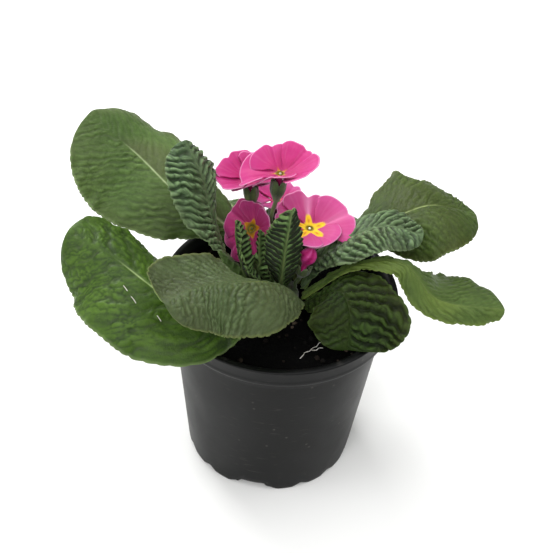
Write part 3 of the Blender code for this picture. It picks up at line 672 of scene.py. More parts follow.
LEAVES = [
    dict(name="leaf_back_left", colour="pale", seed=1,
         midrib=[crown_root(158, 90), (-26, 21, 107), (-49, 28, 118), (-69, 39, 130), (-91, 46, 144)],
         roll=(-10, -16, -13, -10), half_width=32, outline=(0.08, 0.11, 0.72, 2.3),
         fold_left=(-8, -5), fold_right=(9, 9), curl_left=(-61, -18), curl_right=(-8, -86),
         lobes=((-1, 0.91, 0.055, 0.14), (-1, 0.76, 0.06, -0.08)),
         relief=1.2, vein_spacing=4.2, lean=1.0, mix=(0.7, 0.5), cell=2.6, midrib_ends=0.84, ruffle=0.7,
         midrib_width=0.5, sides=(1.0, 0.5), warm_sides=(0.6, 1.5)),
    dict(name="leaf_upright_left", colour="blue", seed=2,
         midrib=[crown_root(184, 92.5), (-22, 1, 103.5), (-30, 6, 118), (-36.5, 12, 140),
                 (-45.5, 22.5, 150.5)],
         roll=(21, 22, 1, 3), half_width=18, outline=(0.25, 0.0, 0.6, 2.4),
         fold_left=(43, 0), fold_right=(-25, -11), curl_left=(1, -25), curl_right=(-31, -61),
         relief=2.4, vein_spacing=3.6, lean=0.55, mix=(0.9, 0.5), cell=2.8, midrib_shows=0.1, vary=0.25,
         sharp=1.2),
    dict(name="leaf_low_left", colour="fresh", seed=3,
         midrib=[crown_root(212, 89), (-20, -18.5, 108), (-39, -30, 105), (-71.5, -17, 117.5),
                 (-90.5, -13, 123)],
         roll=(-2, -6, 9, -27), half_width=30.5, outline=(0.09, 0.03, 0.55, 2.5),
         fold_left=(-7, -20), fold_right=(7, 2), curl_left=(-25, -48), curl_right=(-54, -56),
         right_share=(0.9, 0.5, 1, 1),
         relief=1.3, vein_spacing=9.0, lean=0.7, mix=(0.9, 0.8), cell=3.2, midrib_ends=0.8, wander=0.16,
         midrib_width=0.5, warm_sides=(2.2, 2.2), warm_until=(0.5, 0.8)),
    dict(name="leaf_front", colour="grey", seed=4,
         midrib=[crown_root(250, 90), (0, -20, 111), (-10, -33, 124), (-31, -42.5, 127.5),
                 (-44, -54.5, 128)],
         roll=(-19, 11, 12, -1), half_width=26.5, outline=(0.25, -0.1, 0.52, 2.7),
         fold_left=(-14, 9), fold_right=(-20, -9), curl_left=(-51, -76), curl_right=(-18, 39),
         relief=1.2, vein_spacing=3.0, lean=0.5, mix=(0.6, 0.6), cell=2.2, midrib_ends=0.6,
         midrib_width=0.4),
    dict(name="leaf_low_right", colour="dark", seed=5,
         midrib=[crown_root(-44, 88), (17, -13, 101), (25, -18.5, 109.5), (29.5, -28.5, 106.5),
                 (30.3, -35.2, 92)],
         roll=(-3, 0, 0, -1), half_width=27.5, outline=(0.12, 0.08, 0.51, 2.7),
         fold_left=(-1, 23), fold_right=(-16, 10), curl_left=(-30, -1), curl_right=(-27, -12),
         right_share=(0.9, 0.77, 0.72, 0.68),
         relief=2.6, vein_spacing=4.0, lean=0.3, mix=(0.9, 0.4), cell=2.6, midrib_shows=0.0,
         sides=(1.0, 0.35), vary=0.2, sharp=1.2),
    dict(name="leaf_arch_right", colour="arch", seed=6,
         midrib=[crown_root(-10, 90), (29, -3.6, 111.5), (51, -5.5, 117), (68.5, -10, 102),
                 (98, -6, 95.5)],
         roll=(0, 0, 0, -5), half_width=23, outline=(0.13, 0.25, 0.8, 2.5),
         fold_left=(7, 4, 8), fold_right=(10, -10, -30),
         curl_left=(-25, -30, -25), curl_right=(-60, -60, -50),
         left_width=(1, 0.6, 0.2, 1, 1.1), right_width=(1, 1, 0.68, 0.41, 0.37),
         relief=1.1, vein_spacing=5.0, lean=1.8, mix=(0.7, 0.5), midrib_shows=0.1,
         warm_sides=(0.1, 1.2)),
    dict(name="leaf_mid_right", colour="blue", seed=7,
         midrib=[crown_root(22, 90.5), (16.5, 7.5, 105), (28.5, 8, 117.5), (43, 9, 124.5),
                 (59, 6.5, 122.5)],
         roll=(-15, -1, -7, -4), half_width=18, outline=(0.19, 0.0, 0.56, 2.3),
         fold_left=(9, 9), fold_right=(31, 12), curl_left=(-66, -26), curl_right=(-41, -55),
         relief=2.4, vein_spacing=3.6, lean=0.6, mix=(0.9, 0.6), cell=2.8, midrib_shows=0.15, vary=0.25,
         sharp=1.2),
    dict(name="leaf_back_right", colour="older", seed=8,
         midrib=[crown_root(50, 90), (20.5, 19, 102), (42.5, 26, 112), (63, 31.5, 120.5),
                 (85, 37.5, 113.5)],
         roll=(7, 2, 1, -7), half_width=29.5, outline=(0.09, 0.32, 0.64, 1.8),
         fold_left=(-6, 17), fold_right=(-18, 22), curl_left=(-2, -47), curl_right=(-74, -68),
         right_share=(1, 0.75, 0.9, 1.3),
         lobes=((1, 0.66, 0.042, 0.17), (1, 0.575, 0.04, -0.07), (1, 0.78, 0.05, -0.06)),
         relief=1.2, vein_spacing=4.6, lean=0.8, mix=(0.6, 0.6), cell=2.8, midrib_ends=0.85,
         midrib_width=0.5),
]
REAR = dict(roll=(0, 0, 0, 0), grid=(110, 61))
REAR_LEAVES = [
    dict(name="leaf_rear_left", colour="fresh", seed=9,
         midrib=[crown_root(130, 89), (-16, 26, 99.5), (-24, 41, 102), (-30, 54, 95), (-35, 65, 81)],
         half_width=17, outline=(0.12, 0.2, 0.64, 2.3),
         fold_left=(12, 8), fold_right=(12, 8), curl_left=(-30, -40), curl_right=(-30, -40)),
    dict(name="leaf_rear", colour="dark", seed=10,
         midrib=[crown_root(105, 87.5), (0, 26, 92.5), (2, 40, 95), (4, 55, 94), (5, 68, 81)],
         half_width=14, outline=(0.14, 0.25, 0.66, 2.3),
         fold_left=(14, 8), fold_right=(14, 8), curl_left=(-30, -45), curl_right=(-30, -45)),
    dict(name="leaf_rear_right", colour="fresh", seed=11,
         midrib=[crown_root(78, 89), (15, 28, 97), (27, 42, 98.5), (37, 52, 91), (44, 60, 77)],
         half_width=15, outline=(0.12, 0.2, 0.62, 2.3),
         fold_left=(12, 6), fold_right=(12, 6), curl_left=(-30, -45), curl_right=(-30, -45)),
]
ROSETTE = {leaf["name"]: {**USUAL_LEAF, **leaf} for leaf in LEAVES}
ROSETTE.update({leaf["name"]: {**USUAL_LEAF, **REAR, **leaf} for leaf in REAR_LEAVES})
for name, leaf in ROSETTE.items():
    settle(make_leaf(leaf, UPPER[leaf["colour"]], UNDER), name)

# %% [markdown]
# ## Young leaves
# Three young leaves stand in the heart, still folded along the midrib. They are tightly crumpled:
# the side veins are a few millimetres apart and the edge is a zigzag with a tooth at each vein.
# They are made like the grown leaves, with steeper folds and sharper, more even ridges.

# %% Young leaves
YOUNG = dict(roll=(0, 0, 0, 0), curl_left=(-10, -10), curl_right=(-10, -10), petiole=1.3,
             rib_spread=0.4, ruffle=0.2, swell=0.3, lean=0.2, mix=(1.0, 0.3), midrib_shows=0.5,
             midrib_width=0.2, wander=0.15, vary=0.1, sharp=1.7)


def crown_seat(x, y):
    """Place a hair above the crown's dome, where a stalk or a young leaf stands."""
    height = np.interp(math.hypot(x, y), [0.0, 3.4, 6.4, 8.4], [95.0, 94.5, 93.2, 91.0])
    return np.array([x, y, height + 0.95])


YOUNG_LEAVES = [
    dict(name="leaf_young_centre", seed=21, vein_spacing=3.4, cell=2.6, grid=(150, 51), tooth=1.6,
         midrib=[crown_seat(0.6, -5.0), (0.2, -9.5, 107), (0.4, -12.2, 120), (0.9, -14.5, 134),
                 (2, -16, 148)],
         half_width=9.5, outline=(0.35, -0.1, 0.45, 2.0), petiole=1.6,
         fold_left=(45, 35), fold_right=(45, 35), relief=2.4),
    dict(name="leaf_young_left", seed=22, vein_spacing=2.8, cell=2.2, grid=(110, 31), tooth=1.2,
         midrib=[crown_seat(-5.5, -2.5), (-13.5, -6.8, 103), (-17.3, -6.8, 113), (-19.5, -6.2, 123.5),
                 (-20.8, -6.2, 132.5)],
         half_width=6, outline=(0.4, -0.1, 0.5, 2.0),
         fold_left=(40, 35), fold_right=(40, 35), relief=1.9),
    dict(name="leaf_young_right", seed=23, vein_spacing=2.8, cell=2.2, grid=(100, 31), tooth=1.0,
         midrib=[crown_seat(-3.2, -1.2), (-8.8, -2.7, 104), (-9.6, -3.6, 112), (-10, -4.3, 120),
                 (-10.4, -4.8, 127.5)],
         half_width=3.6, outline=(0.5, -0.1, 0.5, 2.0),
         fold_left=(35, 35), fold_right=(35, 35), relief=1.0),
]
for leaf in YOUNG_LEAVES:
    leaf = {**USUAL_LEAF, **YOUNG, **leaf, "tooth_spacing": leaf["vein_spacing"]}
    settle(make_leaf(leaf, UPPER["young"], UPPER["young"]), leaf["name"])

# %% [markdown]
# ## Petals
# A primrose flower is a tube that spreads into five broad, notched petals, each lapping over the
# next. A petal is a fan: an angle from side to side and a radius from throat to edge, with the
# edge's radius dipping in a notch at the middle. It rises by its cup angle and waves at the edge.

# %% Petal shape
THROAT_RADIUS = 1.5


def flower_axes(tilt, heading):
    """Axes of a flower tilted from upright towards a heading: down the tilt, level, facing."""
    a, b = math.radians(tilt), math.radians(heading)
    down = np.array([math.cos(a) * math.cos(b), math.cos(a) * math.sin(b), -math.sin(a)])
    facing = np.array([math.sin(a) * math.cos(b), math.sin(a) * math.sin(b), math.cos(a)])
    return np.array([down, np.cross(facing, down), facing])


def petal_cup(cups, angle):
    """Cup angle at an angle round the flower, eased from the middle of each petal to the next."""
    place = (angle / (2 * math.pi) * 5 - 0.5) % 5
    p = np.minimum(place.astype(int), 4)
    share = (1 - np.cos(math.pi * (place - p))) / 2
    cups = np.asarray(cups, float)
    return cups[p] + (cups[(p + 1) % 5] - cups[p]) * share


def petal(flower, index, rows=26, columns=37):
    """One petal's middle sheet, as seen from its flower: x and y across the face, z outwards.

    radius = throat + (edge - throat) s, where the edge dips by a bell curve at the middle and
    falls off to the sides. Height = radius * sin(lift) * s^0.35, plus the lap over the next
    petal, a crease down the middle, slow waves that grow to the edge and a rim that turns down.
    """
    s = np.linspace(0, 1, rows)[:, None] * np.ones((1, columns))
    t = np.linspace(-1, 1, columns)[None, :] * np.ones((rows, 1))
    seed = flower["seed"] * 10 + index
    reach = flower["radii"][index]
    start = math.radians(flower["turn"])
    spread = math.radians(38) + math.radians(14) * ease(s, 0.05, 0.6)
    wander = 0.035 * waves(t * 20, s * 0, 14, seed)
    edge = reach * (1 - 0.13 * np.abs(t) ** 5) * (1 - flower["notch"] * bell(t, 0.15)) * (1 + wander)
    radius = THROAT_RADIUS + (edge - THROAT_RADIUS) * s
    angle = start + 2 * math.pi * (index + 0.5) / 5 + t * spread
    cup = petal_cup(flower["cups"], angle - start)
    lift = np.radians(cup - flower["nod"] * np.cos(angle)) * (1 - 0.25 * (1 - s))
    lap = 0.9 * t * ease(s, 0.02, 0.4)
    wave = 0.03 * reach * waves(t * 10, s * 10, 14, seed + 3) * s ** 2
    fold = -0.035 * reach * bell(t, 0.1) * ease(s, 0.1, 0.5) - 0.05 * reach * t ** 2 * s
    turn_down = -0.05 * reach * ease(s, 0.75, 1.05)
    z = radius * np.sin(lift) * s ** 0.35 + lap + wave + fold + turn_down
    return rings(radius * np.cos(lift), z, angle), s, t, radius


print("a flower that faces up by 45 degrees looks along", np.round(flower_axes(45, 0)[2], 2))

# %% [markdown]
# ## Petal finish
# The petals are velvety, because their skin is a carpet of tiny cones. The pink is deepest near
# the eye and pales to the edge, with fine veins that fan out. The eye is a yellow star with orange
# marks, an arm along each petal, round a greenish throat. The star and the fan are worked out on
# the petal's own points and handed to the material as attributes.

# %% Petal finish
def petal_finish():
    """Pink from eye to edge by an attribute, fan veins, the yellow star and its orange marks.

    Clouds of 6 mm break the pink. The cones are far finer than a pixel, so they are a grain of
    a third of a millimetre in the bump, a rosy sheen and a high roughness. A petal is thin and
    wet inside, so red light spreads in it by a millimetre or two.
    """
    mat, tree, place = new_material("primrose petal, velvety pink")
    cloud = add(tree, "ShaderNodeTexNoise", {},
                {"Vector": (place, "Object"), "Scale": per_metre(6.25), "Detail": 3.0})
    shifted = add(tree, "ShaderNodeMath", {"operation": "MULTIPLY_ADD"},
                  {0: (cloud, "Fac"), 1: 0.3, 2: -0.15})
    tone = add(tree, "ShaderNodeMath", {"operation": "ADD"},
               {0: attribute(tree, "outward"), 1: (shifted, 0)})
    pink = ramp(tree, (tone, 0), [(0.0, "#840c40"), (0.4, "#a81a64"), (0.75, "#b4347a"), (1.0, "#c468a2")])
    # Partly painted light: this pale pink draws the fan veins, stripes and rims, and also each flower's
    # lift share, which pales it evenly as if more light fell on it.
    colour = blend(tree, (pink, "Color"), "#e3a3c6", "streak", 1.0)
    colour = blend(tree, colour, "#e6bc18", "star", 1.0)
    colour = blend(tree, colour, "#b8650c", "mark", 1.0)
    colour = blend(tree, colour, "#4d5a1c", "throat", 1.0)
    colour = blend(tree, colour, "#eef0dc", "pin", 1.0)
    cones = add(tree, "ShaderNodeTexNoise", {},
                {"Vector": (place, "Object"), "Scale": per_metre(0.333), "Detail": 1.0})
    bump = add(tree, "ShaderNodeBump", {},
               {"Height": (cones, "Fac"), "Strength": 0.25, "Distance": 0.0003})
    return shade(mat, {"Roughness": 0.55, "Specular IOR Level": 0.25, "Sheen Weight": 0.2,
                       "Sheen Roughness": 0.4, "Sheen Tint": linear("#ff9ad0"),
                       "Subsurface Weight": 0.25, "Subsurface Radius": (1.0, 0.35, 0.6),
                       "Subsurface Scale": 0.0015},
                 {"Base Color": colour, "Normal": (bump, 0)})


PETAL = petal_finish()

# %% [markdown]
# ## Flowers
# Five open flowers stand at different heights and face different ways, and no two have the same
# petals. Each has its place and facing, the radius and cup angle of each petal, and how pale it
# is. A flower is one piece: five petals, the tube behind them, and the stigma in the throat, a
# pale ball like a pin's head.

# %% Flowers
PETAL_THICKNESS = 0.42
ROUND = 24
# Shares of 1, apart from hole, which is a radius in mm. eye is the star's core and arms in mm.
# A flower's lift share is painted light: it pales all its petals evenly.
USUAL_FLOWER = dict(notch=0.06, nod=0, pale=0, painted_light_lift=0, brown=0, hole=2.5, pin=1.0, stripe={})
FIELDS = ("outward", "streak", "star", "mark", "throat", "pin")
FLOWERS = [
    dict(name="flower_top_left", stalk="stalk_top_left", throat=(-17, 23.4, 132), facing=(6, 180),
         turn=-4, radii=[15.5, 13.5, 13, 14, 16.2], cups=[15, 28, 15, 32, 30], foot=(-5.0, 2.6),
         route=[(-15, 12, 103), (-21, 21.5, 111)], seed=1, eye=(1.6, 0.3), brown=0.3, pale=0.06,
         pin=0.3),
    dict(name="flower_top_right", stalk="stalk_top_right", throat=(-4, 9, 147), facing=(4, 0),
         turn=-66, radii=[19, 16.5, 15, 17.5, 13.5], cups=[37, 36, 26, -18, 30],
         foot=(-0.3, 1.8), route=[(-6.5, 10, 118)], seed=2, eye=(1.7, 0.7), pale=0.08, pin=0.4),
    dict(name="flower_left", stalk="stalk_left", throat=(-14.5, 12.2, 114.2), facing=(42, 222),
         turn=18, radii=[14, 13, 13, 15, 15.5], cups=[12] * 5, nod=22, foot=(-2.2, 4.6),
         route=[(-5.5, 15, 99.5)], seed=3, eye=(3.0, 1.6), brown=0.8, hole=3.8, pale=0.1,
         painted_light_lift=0.05, pin=0.05),
    dict(name="flower_right", stalk="stalk_right", throat=(10.5, 12, 117), facing=(5, 0),
         turn=-7, radii=[20.5, 18, 17.5, 15, 14.5], cups=[16, 31, 20, 8, 12], foot=(3.6, 1.4),
         route=[(8, 8, 99)], seed=4, eye=(3.6, 4.4), pale=0.2, painted_light_lift=0.05,
         stripe={1: 0.7, 0: 0.3, 2: 0.3}),
    dict(name="flower_rear", stalk="stalk_rear", throat=(-5, 32, 115), facing=(25, 90),
         turn=-84, radii=[13] * 5, cups=[22] * 5, nod=-20, foot=(1.2, 4.6), route=[(-1, 17, 98)],
         seed=5, eye=(1.6, 0.2), brown=0.8, pale=0.3),
]
FLOWERS = [{**USUAL_FLOWER, **flower} for flower in FLOWERS]


def petal_part(flower, index):
    """One petal as a thin shell, with its fields.

    The star's radius is that of the eye plus a bell curve of the place across the petal, so an arm
    runs out along each petal's middle. Marks are a narrower bell on the arm.
    """
    sheet, s, t, radius = petal(flower, index)
    core, arm = flower["eye"]
    star = core + arm * bell(t, 0.42)
    fan = np.clip(waves(t * 34, s * 1.5, 3.4, flower["seed"] + index), 0, 1) * ease(s, 0.2, 0.5)
    stripe = flower["stripe"].get(index, 0) * bell(t, 0.16) * ease(s, 0.1, 0.3) * (1 - 0.6 * s)
    # Painted light: the flower's lift share pales the whole petal evenly, as if more light fell on it.
    streak = flower["painted_light_lift"] + 0.05 * fan + stripe + 0.6 * ease(s, 0.965, 1.0)
    brown = flower["brown"] * (1 - ease(radius, star * 0.8, star * 1.1))
    fields = dict(
        outward=0.1 + 0.45 * s + flower["pale"],
        streak=np.clip(streak, 0, 1),
        star=1 - ease(radius, star * 0.92, star * 1.06),
        mark=np.maximum(0.9 * bell(radius - core - 0.8, 1.1) * bell(t, 0.2), brown),
        throat=0.9 * (1 - ease(radius, THROAT_RADIUS, flower["hole"])))
    half = unit_normals(sheet) * PETAL_THICKNESS / 2
    points, quads, _ = shell(sheet + half, sheet - half)
    return points, quads, {key: np.concatenate([value.ravel()] * 2) for key, value in fields.items()}


def tube_part():
    """The tube behind the petals, whose flared mouth is the yellow inside of the throat."""
    profile = np.array([(0.0, -10.6), (1.2, -10.6), (1.3, -2.2), (1.9, -0.7), (2.1, 0.1),
                        (1.5, 0.0), (1.1, -1.2), (0.7, -2.4), (0.0, -2.4)])
    grid = rings(profile[:, :1], profile[:, 1:], full_turn(ROUND))
    inside = ((np.arange(len(profile)) >= 4)[:, None] * np.ones(ROUND)).ravel()
    return (grid.reshape(-1, 3), tube_quads(len(profile), ROUND),
            dict(outward=0.3, star=inside, throat=inside * 0.6))


def stigma_part(flower):
    """A slightly flattened ball in the throat."""
    bend = np.linspace(-math.pi / 2, math.pi / 2, 9)[:, None]
    grid = rings(0.62 * np.cos(bend), 0.5 * np.sin(bend) + 0.1, full_turn(ROUND))
    return grid.reshape(-1, 3), tube_quads(9, ROUND), dict(throat=0.9, pin=flower["pin"])


def make_corolla(flower):
    """Petals, tube and stigma in one mesh, turned to the flower's facing and set at its throat."""
    parts = [petal_part(flower, index) for index in range(5)] + [tube_part(), stigma_part(flower)]
    starts = np.cumsum([0] + [len(points) for points, _, _ in parts])
    quads = np.concatenate([quads + start for (_, quads, _), start in zip(parts, starts)])
    placed = np.concatenate([points for points, _, _ in parts]) @ flower_axes(*flower["facing"])
    stores = {key: np.concatenate([np.broadcast_to(fields.get(key, 0.0), len(points))
                                   for points, _, fields in parts]) for key in FIELDS}
    return make_piece(flower["name"] + "_petals", placed + np.array(flower["throat"]), quads,
                      [PETAL], attributes=stores)


for flower in FLOWERS:
    settle(make_corolla(flower), flower["name"])

# %% [markdown]
# ## Stalk finish
# Primrose stalks are soft, pale green and covered in short hairs, with darker lines between the
# ribs of the calyx. The hairs are finer than a pixel, so a fine bump and a sheen stand for them.

# %% Stalk finish
def stalk_finish():
    """Pale green in clouds of 7 mm, darker in the calyx's grooves, with a downy grain of 0.4 mm."""
    mat, tree, place = new_material("primrose stalk, downy")
    cloud = add(tree, "ShaderNodeTexNoise", {},
                {"Vector": (place, "Object"), "Scale": per_metre(7.14), "Detail": 4.0})
    green = ramp(tree, (cloud, "Fac"), [(0.35, "#2c3a14"), (0.55, "#46582a"), (0.72, "#66753f")])
    colour = blend(tree, (green, "Color"), "#1f2c10", "vein", 1.0)
    down = add(tree, "ShaderNodeTexNoise", {},
               {"Vector": (place, "Object"), "Scale": per_metre(0.417), "Detail": 2.0})
    bump = add(tree, "ShaderNodeBump", {},
               {"Height": (down, "Fac"), "Strength": 0.4, "Distance": 0.0004})
    return shade(mat, {"Roughness": 0.6, "Sheen Weight": 0.3, "Subsurface Weight": 0.15,
                       "Subsurface Radius": (0.5, 1.0, 0.3), "Subsurface Scale": 0.001},
                 {"Base Color": colour, "Normal": (bump, 0)})


STALK = stalk_finish()

# %% [markdown]
# ## Stalks and calyces
# Each flower sits in a ribbed green cup with five points, the calyx, on a soft stalk. Both are one
# sweep: a ring carried along a curved path, whose radius changes on the way. The ring is carried
# without twist, so the ribs of the calyx stay straight.

# %% Stalks
STALK_RADIUS = 0.95
CALYX_LENGTH = 9.7
# How far the calyx's mouth lies behind the throat.
MOUTH_BEHIND = 3.2
STALK_SEGMENTS = 30


def sweep(path, profile, segments, factor=1.0, shift=np.zeros((1, 1))):
    """Rings round a path. The first ring's spokes are carried along without twist.

    profile lists (share of the length, radius). factor and shift are arrays (ring, segment) that
    scale a radius and move a point along the path.
    """
    share = np.array([p[0] for p in profile])
    radius = np.array([p[1] for p in profile])[:, None]
    place, ahead, _, _ = frame_along(path, share)
    side, sides = np.array([1.0, 0.0, 0.0]), []
    for direction in ahead:
        side = side - direction * (side @ direction)
        side = side / np.linalg.norm(side)
        sides.append(side)
    sides = np.array(sides)
    ups = np.cross(ahead, sides)
    angle = full_turn(segments)[:, None]
    spoke = sides[:, None] * np.cos(angle) + ups[:, None] * np.sin(angle)
    reach = radius * factor * np.ones(segments)
    return place[:, None] + spoke * reach[..., None] + ahead[:, None] * shift[..., None]


def make_stalk(flower):
    """A bent stalk that opens into the calyx: ribbed outside, hollow inside, five points.

    The ribs and the points are |cos(2.5 angle)| to a power, which has five crests in a turn.
    """
    facing = flower_axes(*flower["facing"])[2]
    foot = crown_seat(*flower["foot"])
    top = np.array(flower["throat"], float) - facing * MOUTH_BEHIND
    calyx = flower.get("calyx", CALYX_LENGTH)
    base = top - facing * calyx
    route = [foot, foot + np.array([0, 0, 3.0])]
    route += [np.array(p, float) for p in flower["route"]] + [base - facing * 2]
    axis = list(curve(route, np.linspace(0, 1, 7))) + [base, base + facing * calyx / 2, top]
    length = np.linalg.norm(np.diff(curve(axis, np.linspace(0, 1, 401)), axis=0), axis=1).sum()
    cup = 1 - calyx / length
    up_cup = np.linspace(0, 1, 16)
    stem_rings = [(k / 30 * (cup - 1.6 / length), STALK_RADIUS) for k in range(31)]
    cup_rings = [(cup + (1 - cup) * v, 1.2 + 2.1 * float(ease(v, -0.25, 0.55))) for v in up_cup]
    inside_rings = [(1 - v * calyx / length, radius)
                    for v, radius in ((0, 2.7), (0.3, 2.3), (0.7, 1.8), (0.8, 1.5), (0.8, 0))]
    profile = [(0.0, 0.0)] + stem_rings + cup_rings + inside_rings
    first, last = 1 + len(stem_rings), 1 + len(stem_rings) + len(cup_rings)
    rib = np.abs(np.cos(2.5 * full_turn(STALK_SEGMENTS))) ** 0.7
    in_cup, tooth = np.zeros((2, len(profile), 1))
    in_cup[first:last, 0] = ease(up_cup, 0.0, 0.4)
    tooth[first:last, 0] = ease(up_cup, 0.62, 1.0)
    tooth[last] = 1
    grid = sweep(axis, profile, STALK_SEGMENTS, 1 + in_cup * (0.16 * rib - 0.08),
                 tooth * (2.8 * rib - 1.6))
    return make_piece(flower["stalk"] + "_calyx", grid, tube_quads(len(profile), STALK_SEGMENTS),
                      [STALK], attributes={"vein": in_cup * (1 - rib) * 0.7})


BUD = dict(name="flower_bud", stalk="stalk_bud", throat=(10.2, -1, 109.4), facing=(14, 5), calyx=5.0,
           foot=(6.3, -1.6), route=[])
for flower in FLOWERS + [BUD]:
    settle(make_stalk(flower), flower["stalk"])

# %% [markdown]
# ## The bud
# Low among the stalks a bud is still furled: its petals wrap round each other like an umbrella's
# cloth. It is a spindle whose rings have five soft lobes, turned a little more with each ring.

# %% Bud
BUD_PROFILE = np.array([(-5.9, 1.17), (-2.2, 1.3), (-0.9, 1.9), (0.8, 3.0), (2.7, 3.6), (4.7, 3.4),
                        (6.4, 2.3), (7.6, 0.9), (8.0, 0.0)])
BUD_RINGS = 44
BUD_SEGMENTS = 60
BUD_TWIST = 0.12


def make_bud(flower):
    """Spindle on the flower's axis: radius * (1 + 0.09 cos(5 (angle - twist * height)))."""
    z = np.linspace(BUD_PROFILE[0, 0], BUD_PROFILE[-1, 0], BUD_RINGS)[:, None]
    angle = full_turn(BUD_SEGMENTS)
    lobe = np.cos(5 * (angle - BUD_TWIST * z))
    radius = np.interp(z, BUD_PROFILE[:, 0], BUD_PROFILE[:, 1]) * (1 + 0.09 * lobe * ease(z, 0, 2))
    radius[0] = 0
    placed = rings(radius, z, angle).reshape(-1, 3) @ flower_axes(*flower["facing"])
    fields = {key: 0 * lobe for key in FIELDS}
    fields["outward"] = 0.5 + 0.25 * lobe
    return make_piece("flower_bud_petals", placed + np.array(flower["throat"]),
                      tube_quads(BUD_RINGS, BUD_SEGMENTS), [PETAL], attributes=fields)


settle(make_bud(BUD), "flower_bud")

# %% [markdown]
# ## Pot finish
# The pot is thin black polypropylene, moulded and not polished, so it is satin: the light from the
# room lies on it as a soft grey, and never as a mirror. Handling leaves short scuffs, and watering
# leaves dust and dried spots about a millimetre across.

# %% Pot finish
def pot_finish():
    """Black polypropylene (IOR 1.49): satin, with faint level scuffs, dust and dried water spots.

    Clouds of 36 mm vary the black and the roughness. Scuffs are noise of 1.4 mm stretched five
    times round the pot, and spots lie at the middles of cells of 8 mm. The grain is 0.6 mm.
    """
    mat, tree, place = new_material("black polypropylene, moulded, scuffed")
    cloud = add(tree, "ShaderNodeTexNoise", {},
                {"Vector": (place, "Object"), "Scale": per_metre(35.7), "Detail": 5.0, "Roughness": 0.6})
    base = ramp(tree, (cloud, "Fac"), [(0.3, "#060707"), (0.55, "#090a0a"), (0.75, "#0e0e0d")])
    stretched = add(tree, "ShaderNodeMapping", {},
                    {"Vector": (place, "Object"), "Scale": (0.2, 0.2, 1.0)})
    scuff = add(tree, "ShaderNodeTexNoise", {},
                {"Vector": (stretched, "Vector"), "Scale": per_metre(1.43), "Detail": 2.0})
    scuffed = add(tree, "ShaderNodeMapRange", {},
                  {"Value": (scuff, "Fac"), "From Min": 0.64, "From Max": 0.78, "To Max": 0.25})
    speck = add(tree, "ShaderNodeTexVoronoi", {},
                {"Vector": (place, "Object"), "Scale": per_metre(7.69), "Randomness": 1.0})
    dots = add(tree, "ShaderNodeMapRange", {},
               {"Value": (speck, "Distance"), "From Min": 0.1, "From Max": 0.04, "To Max": 0.5})
    marks = add(tree, "ShaderNodeMath", {"operation": "MAXIMUM"}, {0: (scuffed, 0), 1: (dots, 0)})
    dusted = add(tree, "ShaderNodeMix", {"data_type": "RGBA"},
                 {0: (marks, 0), 6: (base, "Color"), 7: linear("#4a4743")})
    rough = add(tree, "ShaderNodeMapRange", {},
                {"Value": (cloud, "Fac"), "From Min": 0.3, "From Max": 0.7,
                 "To Min": 0.36, "To Max": 0.5})
    grain = add(tree, "ShaderNodeTexNoise", {},
                {"Vector": (place, "Object"), "Scale": per_metre(0.556), "Detail": 2.0})
    bump = add(tree, "ShaderNodeBump", {},
               {"Height": (grain, "Fac"), "Strength": 0.12, "Distance": 0.0003})
    return shade(mat, {"IOR": 1.49, "Specular IOR Level": 0.17},
                 {"Base Color": (dusted, 2), "Roughness": (rough, 0), "Normal": (bump, 0)})


POT = pot_finish()

# %% [markdown]
# ## The pot
# The pot is a plain tapered wall with a band at the top, a fine step, a rolled lip, and a foot cut
# away into low arches so that water can leave. It is a profile turned round the axis, and the
# foot's height is a function of the angle. The drainage holes are round and go right through, so
# they are the one thing here that is cut: pegs are taken away with a boolean, once, in the mesh.

# %% Pot
RIM_RADIUS = 52.5
FOOT_RADIUS = 39.4
WALL_TOP_RADIUS = 47.3
WALL_TOP = 79.5
WALL = 1.5
CHANNEL_HEIGHT = 3.7
VEE_HEIGHT = 1.9
NOTCH_CENTRE = math.radians(-98)
POT_SEGMENTS = 256


def outer(z):
    """Outer radius of the pot's plain wall at a height."""
    return FOOT_RADIUS + (WALL_TOP_RADIUS - FOOT_RADIUS) * z / WALL_TOP


def foot_height(angle):
    """Underside of the foot: four low arches, and a small V between neighbouring feet."""
    sector = ((angle - NOTCH_CENTRE) / (2 * math.pi) * 16 + 0.5) % 16
    inside = np.abs(sector % 4 - 0.5)
    arch = CHANNEL_HEIGHT * (1 - ease(inside, 0.34, 0.52))
    to_border = np.abs(sector - np.round(sector))
    vee = VEE_HEIGHT * np.clip(1 - to_border / 0.26, 0, 1)
    return np.maximum(arch, vee)


